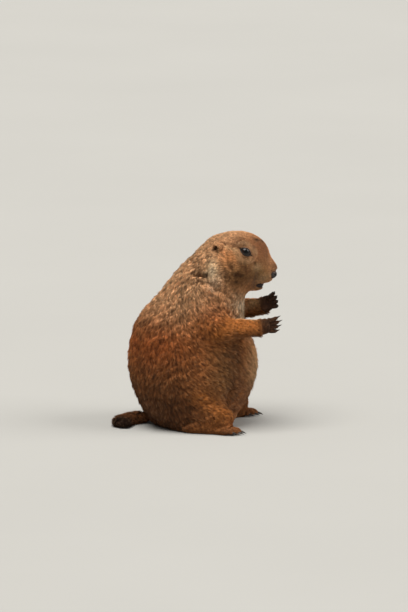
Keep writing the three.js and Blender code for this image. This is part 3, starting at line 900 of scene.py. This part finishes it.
def roughness_of_coat(points):
    """1 where the coat parts into rough locks, as on the trunk and low cheeks, and 0 where it is sleek."""
    cheeks = near(points, (38, 28, 158), (16, 14, 13)) + near(points, (14, 30, 164), (12, 14, 16))
    return np.clip(share_of("torso", "neck", "upper_arm", "thigh") + cheeks, 0, 1)


def painted(colour, markings_and_painted_light):
    """The colour with the markings, painted shade and painted light laid over it, one after the other."""
    for pigment, amount in markings_and_painted_light:
        colour = mix(colour, pigment, np.clip(amount, 0, 1))
    return colour


def pelt_colour(places, normals):
    """The coat's colour at places on its outside, one for each point of the skin."""
    colour = painted(np.tile(TAWNY, (len(places), 1)), body_markings_and_painted_light(places, normals))
    colour = SKIN_WEB.spread(colour, COLOUR_ROUNDS)
    # Soft lighter and darker patches a few millimetres wide, stronger where the coat parts into rough
    # locks: in part random tone, in part painted shade between the locks.
    mottle_and_lock_shade = 0.2 * ripple(places, 5.0, SEED + 3) + 0.12 * ripple(places, 13, SEED + 4)
    colour = colour * (1 + mottle_and_lock_shade * (0.35 + 0.65 * roughness_of_coat(places)))[:, None]
    return painted(colour, face_markings_and_painted_light(places))


# Coat: how it lies and grows

def lie_on_torso(points):
    """Down the back, and forward and down on the flanks and belly."""
    forward = step(points[:, 0], -32, 18) * step(-points[:, 2], -128, -92)
    return mix([-0.12, 0, -1], [0.95, 0, -0.52], forward)


def lie_on_thigh(points):
    """Down at the rump and forward to the knee."""
    return mix([-0.1, 0, -1], [0.9, 0, -0.42], step(points[:, 0], -38, 12))


def lie_on_tail(points):
    """Back out of the rump, then round to the right with the tail's bend."""
    first = mix([-1, -0.15, -0.12], [-0.75, -0.8, 0], step(-points[:, 1], 0, 11))
    return mix(first, [0.15, -1, 0], step(-points[:, 1], 9, 25))


def lie_on(name, points):
    """Which way the coat lies at points of a node."""
    kind, side = kind_of(name), name.split("_")[-1]
    changing = {"torso": lie_on_torso, "thigh": lie_on_thigh, "tail": lie_on_tail}
    if kind in changing:
        return changing[kind](points)
    if kind == "head":
        return points - (NOSE + [4, 0, -1])
    constant = {
        "neck": lambda: np.array([-0.42, 0, -0.9]),
        "ear": lambda: np.array([-0.5, 0.5 * SIDES[side], 0.7]),
        "upper_arm": lambda: ELBOW[side] - SHOULDER[side],
        "forearm": lambda: WRIST[side] - ELBOW[side],
        "hand": lambda: middle(name) - WRIST[side],
        "shank": lambda: np.array([0.35, 0, -1]),
        "foot": lambda: np.array([1, 0, -0.15]),
    }
    return np.tile(constant[kind](), (len(points), 1))


def along_skin(vectors, normals):
    """The part of the vectors that runs along the skin, at length 1."""
    return unit(vectors - normals * (vectors * normals).sum(1, keepdims=True))


def coat_lie(points, normals):
    """Which way the coat lies at every point of the skin."""
    total = sum(SHARE[:, [index]] * unit(lie_on(name, points)) for index, name in enumerate(FLESH))
    lie = along_skin(total, normals)
    return along_skin(SKIN_WEB.spread(lie, LIE_ROUNDS), normals)


def bare(points, normals):
    """Whether no coat grows at a point: eye openings, mouth, nose, ear hollows, palms and soles."""
    none = (from_nose(points) < 0.93) | in_mouth(points) | in_ear(points)
    for side, way in SIDES.items():
        _, _, back = digit_base("hand", side)
        none |= from_opening(points, side) < LID_BARE
        none |= (share_of("hand") > 0.4) & (points[:, 1] * way > 0) & (normals @ back < -0.6)
    return none | ((points[:, 2] < 2.2) & (normals[:, 2] < -0.75))


class Coat:
    """What grows at every point of the skin."""

    def __init__(self):
        points = OUTSIDE
        self.normals = point_normals(SKIN_POINTS, SKIN_TRIANGLES)
        self.lie = coat_lie(points, self.normals)
        muzzle = step(points[:, 0], 26, 64) * share_of("head")
        fringe = share_of("forearm") * np.clip(-self.normals[:, 2], 0, 1)
        ruff = near(points, (15, 30, 164), (9, 9, 13))
        belly = step(points[:, 0], 34, 58) * share_of("torso")
        self.length = toward(CLOSE_SHARE @ LENGTH, MUZZLE_LENGTH, muzzle)
        self.width = toward(CLOSE_SHARE @ WIDTH, MUZZLE_WIDTH, muzzle)
        self.density = toward(CLOSE_SHARE @ DENSITY, MUZZLE_DENSITY, muzzle)
        self.standing = SHARE @ STANDING
        for area, (longer, steeper) in zip((fringe, ruff, belly), (FRINGE, RUFF, BELLY)):
            self.length += longer * area
            self.standing += steeper * area
        self.ticking = SHARE @ TICKING * (1 - 0.75 * belly) * (1 - 0.5 * muzzle)
        for side in SIDES:
            lid = 1 - step(from_opening(points, side), LID_BARE, LID_REACH)
            self.length *= 1 - 0.66 * lid
            self.width *= 1 - 0.45 * lid
            self.density *= 1 + 0.6 * lid
        for start, end, reach, _ in FOLDS:
            self.length *= 1 - 0.4 * near_line(points, start, end, reach)
        self.density *= ~bare(SKIN_POINTS, self.normals)
        self.rough = roughness_of_coat(points)
        self.skin = pelt_colour(points, self.normals)
        self.pelt = pelt_colour(points + (SHOWN_ALONG * self.length)[:, None] * self.lie, self.normals)


# The coat piece of each limb's nodes, and where the head and the torso are divided
PIECE_OF_KIND = {
    "ear": "crown", "upper_arm": "arm", "forearm": "arm", "hand": "arm",
    "thigh": "leg", "shank": "leg", "foot": "leg",
}
FACE_FROM_X = 36
BACK_TO_X = -38
BELLY_FROM_X = 36
SHOULDERS_FROM_Z = 116


def region_names():
    """The coat piece that each triangle of the skin belongs to."""
    centres = SKIN_POINTS[SKIN_TRIANGLES].mean(1)
    main = CLOSE_SHARE[SKIN_TRIANGLES].sum(1).argmax(1)
    sides = np.where(centres[:, 1] > 0, "_left", "_right")
    names = np.array([PIECE_OF_KIND.get(kind, kind) for kind in KIND_OF_FLESH[main]], dtype="U24")
    paired = (names == "arm") | (names == "leg")
    names[paired] = np.char.add(names[paired], sides[paired])
    face = (names == "head") & (centres[:, 0] > FACE_FROM_X)
    names[face] = np.char.add("face", sides[face])
    names[names == "head"] = "crown"
    torso = names == "torso"
    names[torso] = np.char.add("flank", sides[torso])
    names[torso & (centres[:, 0] < BACK_TO_X)] = "back"
    names[torso & (centres[:, 0] > BELLY_FROM_X)] = "belly"
    names[torso & (centres[:, 2] > SHOULDERS_FROM_Z)] = "shoulders"
    return names


def unwrapped(points, triangles):
    """A flat map of the triangles, as two numbers for each of their corners."""
    used, renumbered = np.unique(triangles, return_inverse=True)
    piece = solid("unwrap", points[used], renumbered.reshape(-1, 3))
    bpy.ops.object.select_all(action="DESELECT")
    bpy.context.view_layer.objects.active = piece
    piece.select_set(True)
    bpy.ops.object.mode_set(mode="EDIT")
    bpy.ops.mesh.select_all(action="SELECT")
    bpy.ops.uv.smart_project(angle_limit=math.radians(66), island_margin=0.004)
    bpy.ops.object.mode_set(mode="OBJECT")
    flat = np.empty(triangles.size * 2, np.float32)
    piece.data.uv_layers.active.uv.foreach_get("vector", flat)
    bpy.data.objects.remove(piece)
    return flat.reshape(-1, 3, 2)


def scatter(triangles, density, random):
    """Triangles and corner shares of the roots, spread evenly for the density."""
    a, b, c = (SKIN_POINTS[triangles[:, k]] for k in range(3))
    area = np.linalg.norm(np.cross(b - a, c - a), axis=1) / 2
    wanted = np.cumsum(area * density[triangles].mean(1))
    count = int(wanted[-1])
    marks = (np.arange(count) + random.random(count)) * wanted[-1] / count
    chosen = np.minimum(np.searchsorted(wanted, marks), len(triangles) - 1)
    r, q = np.sqrt(random.random(count)), random.random(count)
    return chosen, np.stack([1 - r, r * (1 - q), r * q], 1)


# A tuft's five points are the root, a three-sided middle and the tip
TUFT_TRIANGLES = np.array([[0, 1, 2], [0, 2, 3], [0, 3, 1], [4, 2, 1], [4, 3, 2], [4, 1, 3]])
TUFT_UV = np.array([[0, -1], [-1, 0], [0, 0], [1, 0], [0, 1]]) * UV_PATCH / 2
TUFT_MIDDLE = 0.42
TUFT_ALONG = np.array([0, TUFT_MIDDLE, TUFT_MIDDLE, TUFT_MIDDLE, 1.0])
TUFT_POINTS = len(TUFT_ALONG)


def lock_leaders(roots, random):
    """The tuft that leads each tuft's lock, and each tuft's number of its lock."""
    leaders = random.choice(len(roots), max(1, len(roots) // TUFTS_PER_LOCK), replace=False)
    tree = tree_of(roots[leaders])
    lock = np.array([tree.find(root)[1] for root in roots])
    return leaders[lock], lock


def grow(region, triangles, coat, seed):
    """One piece of coat over some triangles of the skin."""
    random = np.random.default_rng(seed)
    flat = unwrapped(SKIN_POINTS, triangles)
    chosen, shares = scatter(triangles, coat.density, random)
    count = len(chosen)

    def here(values):
        taken = values[triangles[chosen]]
        return (taken * (shares if values.ndim == 1 else shares[:, :, None])).sum(1)

    roots = here(SKIN_POINTS)
    normal = unit(here(coat.normals))
    lie = along_skin(here(coat.lie), normal)
    turn = (0.22 * ripple(roots, 17, SEED + 1) + 0.16 * random.normal(size=count))[:, None]
    lie = lie * np.cos(turn) + np.cross(normal, lie) * np.sin(turn)
    side = np.cross(normal, lie)
    length = here(coat.length) * random.uniform(0.72, 1.2, count)
    width = here(coat.width) * random.uniform(0.75, 1.25, count)
    parting = (3 + 4 * here(coat.rough)) * ripple(roots, 7, SEED + 2, 10)
    standing = here(coat.standing) + parting + 5 * random.normal(size=count)
    angle = np.radians(np.clip(standing, 3, 75))

    run = (length * np.cos(angle))[:, None] * lie
    rise = (length * np.sin(angle))[:, None] * normal
    tips = roots + run + 0.86 * rise
    leader, lock = lock_leaders(roots, random)
    pull = LOCK_PULL * random.uniform(0.4, 1.3, count)[:, None]
    tips += pull * (tips[leader] - tips)
    middles = roots + TUFT_MIDDLE * (tips - roots) + (0.1 * length)[:, None] * normal
    half = (width / 2)[:, None] * side
    ridge = (0.42 * width)[:, None] * normal
    tufts = np.stack([roots - 0.5 * normal, middles - half, middles + ridge, middles + half, tips], 1)
    tufts[..., 2] = np.maximum(tufts[..., 2], 0.15)
    faces = (TUFT_TRIANGLES[None] + TUFT_POINTS * np.arange(count)[:, None, None]).reshape(-1, 3)

    piece = solid(f"coat_{region}", tufts.reshape(-1, 3), faces)
    # Lighter and darker patches of tufts a few millimetres wide, stronger where the coat is rough: in part
    # random tone, in part painted shade between the locks.
    patch_and_lock_shade = np.clip(0.5 + (0.2 + 0.3 * here(coat.rough)) * ripple(tips, 4.2, SEED + 10, 12), 0, 1)
    tone = 0.36 * random.random(lock.max() + 1)[lock] + 0.24 * random.random(count) + 0.4 * patch_and_lock_shade
    hair = np.stack([
        np.tile(TUFT_ALONG, count), np.repeat(tone, TUFT_POINTS), np.repeat(here(coat.ticking), TUFT_POINTS)
    ], 1)
    add_values(piece, "hair", hair)
    add_values(piece, "pelt", np.repeat(here(coat.pelt), TUFT_POINTS, axis=0))
    place = np.clip((flat[chosen] * shares[:, :, None]).sum(1), UV_PATCH, 1 - UV_PATCH)
    uv = (place[:, None, :] + TUFT_UV[None]).reshape(-1, 2)[faces.ravel()]
    layer = piece.data.uv_layers.new(name="OFBake")
    layer.uv.foreach_set("vector", uv.astype(np.float32).ravel())
    return piece


# Materials

def four(*colour):
    """A colour for a socket, in linear light with its alpha, from its 0 to 255 values."""
    return (*srgb(*colour), 1.0)


class Nodes:
    """A material's node tree, with a short way to add and join nodes."""

    def __init__(self, name, **values):
        self.material = bpy.data.materials.new(name)
        self.material.use_nodes = True
        self.tree = self.material.node_tree
        self.shader = self.tree.nodes["Principled BSDF"]
        for name, value in values.items():
            socket = name.replace("_", " ").title().replace("Ior", "IOR")
            self.shader.inputs[socket].default_value = value

    def join(self, source, target):
        """Links a socket, or sets a value, on a target socket."""
        if isinstance(source, bpy.types.NodeSocket):
            self.tree.links.new(source, target)
        else:
            target.default_value = source

    def add(self, kind, inputs, **settings):
        """A new node of that kind, with its settings made and its inputs joined, as its outputs."""
        node = self.tree.nodes.new("ShaderNode" + kind)
        for name, value in settings.items():
            setattr(node, name, value)
        for socket, source in inputs.items():
            self.join(source, node.inputs[socket])
        return node.outputs

    def values(self, name):
        """The numbers stored on the mesh under that name."""
        return self.add("Attribute", {}, attribute_name=name)["Vector"]

    def parts(self, vector):
        """The three numbers of a vector."""
        return list(self.add("SeparateXYZ", {0: vector}))

    def product(self, a, b):
        """Two numbers multiplied."""
        return self.add("Math", {0: a, 1: b}, operation="MULTIPLY")[0]

    def range(self, *values):
        """A value moved from one range to another, smoothly, and held inside it."""
        return self.add("MapRange", dict(enumerate(values)), interpolation_type="SMOOTHSTEP")[0]

    def blend(self, share, a, b):
        """Two colours mixed."""
        return self.add("Mix", {0: share, 6: a, 7: b}, data_type="RGBA")[2]

    def scale(self, colour, amount):
        """A colour made lighter or darker."""
        return self.add("VectorMath", {0: colour, "Scale": amount}, operation="SCALE")[0]

    def noise(self, per_metre, detail=3.0):
        """A noise that stays on the object."""
        place = self.add("TexCoord", {})["Object"]
        return self.add("TexNoise", {"Vector": place, "Scale": per_metre, "Detail": detail})["Fac"]

    def mottled(self, per_metre, spread, dark, light):
        """Soft patches of two colours."""
        share = self.range(self.noise(per_metre), 0.5 - spread, 0.5 + spread, 0.0, 1.0)
        return self.blend(share, four(*dark), four(*light))

    def relief(self, per_metre, detail, strength, depth):
        """Small bumps on the surface, that deep in millimetres."""
        height = self.noise(per_metre, detail)
        bump = self.add("Bump", {"Strength": strength, "Distance": depth * MM, "Height": height})
        self.join(bump[0], self.shader.inputs["Normal"])

    def colour(self, source):
        """Joins the base colour."""
        self.join(source, self.shader.inputs["Base Color"])
        return self.material


def coat_material():
    """Hair that is dark at the root and banded, with lighter and darker locks and dark ticks."""
    n = Nodes(
        "coat", roughness=0.6, specular_ior_level=0.14, sheen_weight=0.05, sheen_roughness=0.4,
        sheen_tint=four(255, 214, 176),
    )
    along, tone, ticking = n.parts(n.values("hair"))
    drift = n.range(n.noise(55), 0.3, 0.7, 0.9, 1.1)
    light = n.product(n.range(along, 0.0, 0.75, 0.38, 1.05), drift)
    light = n.product(light, n.range(tone, 0.1, 0.9, 0.6, 1.36))
    hair = n.scale(n.values("pelt"), light)
    dark_lock = n.product(n.range(tone, 0.22, 0.36, 1.0, 0.0), ticking)
    pale_lock = n.product(n.range(tone, 0.6, 0.8, 0.0, 1.0), ticking)
    hair = n.blend(n.product(dark_lock, n.range(along, 0.25, 0.6, 0.0, 0.7)), hair, four(48, 32, 24))
    frost = n.product(pale_lock, n.range(along, 0.5, 1.0, 0.0, 0.4))
    return n.colour(n.blend(frost, hair, (*CREAM, 1.0)))


def skin_material():
    """Short underfur on skin, darker than the coat over it."""
    n = Nodes("skin", roughness=0.75, specular_ior_level=0.25, sheen_weight=0.15)
    n.relief(1500, 2.0, 0.5, 0.4)
    return n.colour(n.scale(n.values("pelt"), n.range(n.noise(420), 0.3, 0.7, 0.5, 0.8)))


def eye_material():
    """A dark brown iris round a black pupil, under a wet surface."""
    n = Nodes("eye", roughness=0.07, specular_ior_level=0.3)
    from_axis, _, _ = n.parts(n.values("gaze"))
    iris = n.range(from_axis, 0.36, 0.42, 0.0, 1.0)
    limbus = n.range(from_axis, 0.62, 0.80, 0.0, 1.0)
    threads = n.range(n.noise(900), 0.35, 0.65, 0.7, 1.2)
    brown = n.scale(tuple(srgb(34, 19, 12)), threads)
    return n.colour(n.blend(limbus, n.blend(iris, four(4, 3, 3), brown), four(9, 6, 6)))


def nose_material():
    """Finely pebbled dark skin, black round the nostrils and brown above, where the brown top is in part
    painted light.
    """
    n = Nodes("nose", roughness=0.5, specular_ior_level=0.4)
    n.relief(1900, 1.0, 0.6, 0.25)
    below = n.mottled(300, 0.15, (15, 12, 11), (32, 24, 22))
    _, _, height = n.parts(n.values("upward"))
    return n.colour(n.blend(n.range(height, 0.1, 0.8, 0.0, 1.0), below, four(84, 62, 50)))


def tongue_material():
    """Wet flesh, painted dark as the shade inside the open mouth."""
    n = Nodes("tongue", roughness=0.45, specular_ior_level=0.35)
    n.relief(1200, 1.0, 0.4, 0.2)
    return n.colour(n.mottled(350, 0.15, (20, 12, 11), (40, 20, 18)))


def claw_material():
    """Dark horn with paler patches."""
    n = Nodes("claw", roughness=0.34, specular_ior_level=0.5)
    n.relief(800, 1.0, 0.25, 0.1)
    return n.colour(n.mottled(160, 0.2, (30, 23, 20), (62, 50, 42)))


def whisker_material():
    """Black bristle."""
    n = Nodes("whisker", roughness=0.4, specular_ior_level=0.4)
    return n.colour(n.blend(n.noise(400), four(16, 12, 10), four(34, 26, 22)))


# Eyes, nose, claws and whiskers

def add_eye(side, material):
    """A smooth eyeball with a slight bulge of the cornea."""
    points, faces = ball(48, 64)
    outward, along, across = eye_axes(side)
    bulge = 1 + 0.035 * hump(points[:, 0], 1, 0.22)
    placed = EYE[side] + EYE_RADIUS * bulge[:, None] * (points @ np.stack([outward, along, across]))
    piece = solid(f"eyeball_{side}", placed, facing_out(placed, faces))
    from_axis = np.arccos(np.clip(points[:, :1], -1, 1))
    add_values(piece, "gaze", from_axis * [1, 0, 0])
    finish_piece(piece, material, [f"eye_{side}"])


# The pad sits a little back and below the tip of the muzzle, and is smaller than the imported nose
NOSE_PAD_SHIFT = np.array([-1.3, 0, -0.5])
NOSE_PAD_SHARE = np.array([0.95, 0.9, 0.95])


def add_nose(material):
    """A nose pad with two comma-shaped nostrils and a groove below."""
    points, faces = ball(72, 96)
    x, y, z = points.T
    front = step(x, 0.1, 0.6)
    across = np.abs(y)
    nostril = np.exp(-(((across - 0.52) / 0.2) ** 2 + ((z + 0.12) / 0.26) ** 2))
    comma = np.exp(-(((across - 0.8) / 0.22) ** 2 + ((z - 0.12) / 0.14) ** 2))
    groove = hump(y, 0, 0.09) * step(-z, -0.3, 0.5)
    dent = front * (0.34 * nostril + 0.1 * groove) + 0.2 * comma * step(x, -0.1, 0.3)
    rim = front * 0.06 * hump(np.hypot(across - 0.52, z + 0.1), 0.36, 0.1)
    blunt = np.sign(points) * np.abs(points) ** 0.86
    shaped = blunt * (1 - dent + rim)[:, None]
    placed = NOSE + NOSE_PAD_SHIFT + shaped * NOSE_SIZE * NOSE_PAD_SHARE
    piece = solid("nose_pad", placed, facing_out(placed, faces))
    add_values(piece, "upward", points)
    finish_piece(piece, material, ["nose"])


def add_mouth_lining(material):
    """The tongue and gums that show between the open lips, painted dark as the shade inside the mouth."""
    points, faces = ball(40, 48)
    shaped = np.sign(points) * np.abs(points) ** 0.85
    lump = 1 + 0.03 * ripple(points * 5, 2.5, SEED + 12)
    placed = TONGUE + shaped * TONGUE_SIZE * lump[:, None]
    piece = solid("mouth_lining", placed, facing_out(placed, faces))
    finish_piece(piece, material)


def add_claw(node, material):
    """A packed claw, rounded."""
    mesh = frame["nodes"][node].data.copy()
    with edited(mesh) as form:
        bmesh.ops.remove_doubles(form, verts=form.verts, dist=WELD * MM)
    root, along = claw_line(node)
    offset = mesh_arrays(mesh)[0] - root
    reach = (offset @ along)[:, None] * along
    place_points(mesh, root + reach + CLAW_SHARE * (offset - reach))
    piece = in_scene(f"{node}_horn", mesh)
    rounding = piece.modifiers.new("round", "SUBSURF")
    rounding.levels = rounding.render_levels = 2
    apply_modifiers(piece)
    finish_piece(piece, material, [node])


WHISKER_THICKNESS = 0.2
WHISKER_DROOP = 0.22


def whisker(root, direction, length):
    """Points of one tapered, drooping bristle, as rings of three, and its triangles."""
    rings, sides = 9, 3
    t = np.linspace(0, 1, rings)
    centre = root + length * (t[:, None] * direction - (WHISKER_DROOP * t**2)[:, None] * UP)
    side = unit(np.cross(direction, UP))
    over = unit(np.cross(side, direction))
    turn = np.linspace(0, 2 * math.pi, sides, endpoint=False)
    ring = np.cos(turn)[:, None] * side + np.sin(turn)[:, None] * over
    radius = WHISKER_THICKNESS / 2 * (1 - 0.85 * t)
    points = centre[:, None, :] + radius[:, None, None] * ring[None]
    ends = [[0, 2, 1], [sides * rings - 3, sides * rings - 2, sides * rings - 1]]
    return points.reshape(-1, 3), np.concatenate([grid_faces(rings, sides), ends])


def add_whiskers(material, normals):
    """Rows of bristles on both sides of the muzzle, a few over each eye and on each cheek."""
    random = np.random.default_rng(SEED + 9)
    front = np.nonzero(SKIN_POINTS[:, 0] > 25)[0]
    tree = tree_of(SKIN_POINTS[front])
    roots = [((58 + 2.6 * i, 14, 151.5 + 2.6 * j), 13 + 2.6 * (4 - i)) for i in range(5) for j in range(4)]
    roots += [((46 + 2 * i, 20, 188), 6) for i in range(2)]
    roots += [((38 + 3 * i, 32, 160), 12) for i in range(2)]
    points, faces = [], []
    for way in SIDES.values():
        for place, length in roots:
            index = front[tree.find((place[0], place[1] * way, place[2]))[1]]
            direction = unit(0.75 * normals[index] + [-0.45, 0, 0.05] + 0.12 * random.normal(size=3))
            own, triangles = whisker(SKIN_POINTS[index], direction, length * random.uniform(0.8, 1.15))
            faces.append(triangles + sum(len(p) for p in points))
            points.append(own)
    piece = solid("whiskers", np.concatenate(points), np.concatenate(faces))
    finish_piece(piece, material)


# Camera, lights and floor

CAMERA_TARGET = Vector((0.0034, 0.0, 0.120))
CAMERA_AZIMUTH = math.radians(10)
CAMERA_ELEVATION = math.radians(10)
CAMERA_DISTANCE = 6.0
CAMERA_LENS = 353.0
SENSOR_WIDTH = 36
# Name, the way it comes from, width in degrees, strength and colour of each light
LIGHTS = (
    ("overhead", (-0.15, -0.4, 1.5), 45, 3.6, (1.0, 0.98, 0.94)),
    ("ahead", (1.2, 0.05, 0.9), 40, 1.5, (1.0, 0.98, 0.95)),
)
DAYLIGHT = (1.0, 0.98, 0.95, 1)
DAYLIGHT_STRENGTH = 0.3
FLOOR_SIZE = 80


def looking(name, data, place, back):
    """A camera or light at a place, which looks the other way from back."""
    holder = in_scene(name, data)
    holder.location = place
    holder.rotation_mode = "QUATERNION"
    holder.rotation_quaternion = (-back).to_track_quat("-Z", "Y")
    return holder


def add_camera():
    """The photograph's point of view."""
    camera = bpy.data.cameras.new("camera")
    camera.lens = CAMERA_LENS
    camera.sensor_width = SENSOR_WIDTH
    level = math.cos(CAMERA_ELEVATION)
    back = Vector((
        math.sin(CAMERA_AZIMUTH) * level, -math.cos(CAMERA_AZIMUTH) * level, math.sin(CAMERA_ELEVATION)
    ))
    bpy.context.scene.camera = looking("camera", camera, CAMERA_TARGET + back * CAMERA_DISTANCE, back)


def add_lights():
    """Soft, distant lights, and faint daylight from all round."""
    for name, place, spread, strength, colour in LIGHTS:
        light = bpy.data.lights.new(name, "SUN")
        light.angle = math.radians(spread)
        light.energy = strength
        light.color = colour
        looking(name, light, place, Vector(place))
    world = bpy.data.worlds.new("world")
    bpy.context.scene.world = world
    world.use_nodes = True
    background = world.node_tree.nodes["Background"]
    background.inputs["Color"].default_value = DAYLIGHT
    background.inputs["Strength"].default_value = DAYLIGHT_STRENGTH


def add_floor():
    """A plain pale floor."""
    bpy.ops.mesh.primitive_plane_add(size=FLOOR_SIZE)
    floor = bpy.context.object
    floor.name = "floor"
    n = Nodes("floor", roughness=0.9)
    n.colour(n.blend(n.noise(3), four(168, 167, 163), four(173, 172, 168)))
    floor.data.materials.append(n.material)


add_camera()
add_lights()
add_floor()
bpy.context.scene.view_settings.view_transform = "Standard"

coat = Coat()
skin = solid("skin", SKIN_POINTS, SKIN_TRIANGLES)
add_values(skin, "pelt", coat.skin)
thinned = skin.modifiers.new("thin", "DECIMATE")
thinned.ratio = SKIN_SHARE_KEPT
apply_modifiers(skin)
finish_piece(skin, skin_material(), FLESH)

names = region_names()
fur = coat_material()
for order, region in enumerate(sorted(set(names))):
    piece = grow(region, SKIN_TRIANGLES[names == region], coat, SEED + 100 + order)
    finish_piece(piece, fur)

eye = eye_material()
for side in SIDES:
    add_eye(side, eye)
add_nose(nose_material())
add_mouth_lining(tongue_material())
horn = claw_material()
for node in sorted(frame["nodes"]):
    if "_claw_" in node:
        add_claw(node, horn)
add_whiskers(whisker_material(), coat.normals)
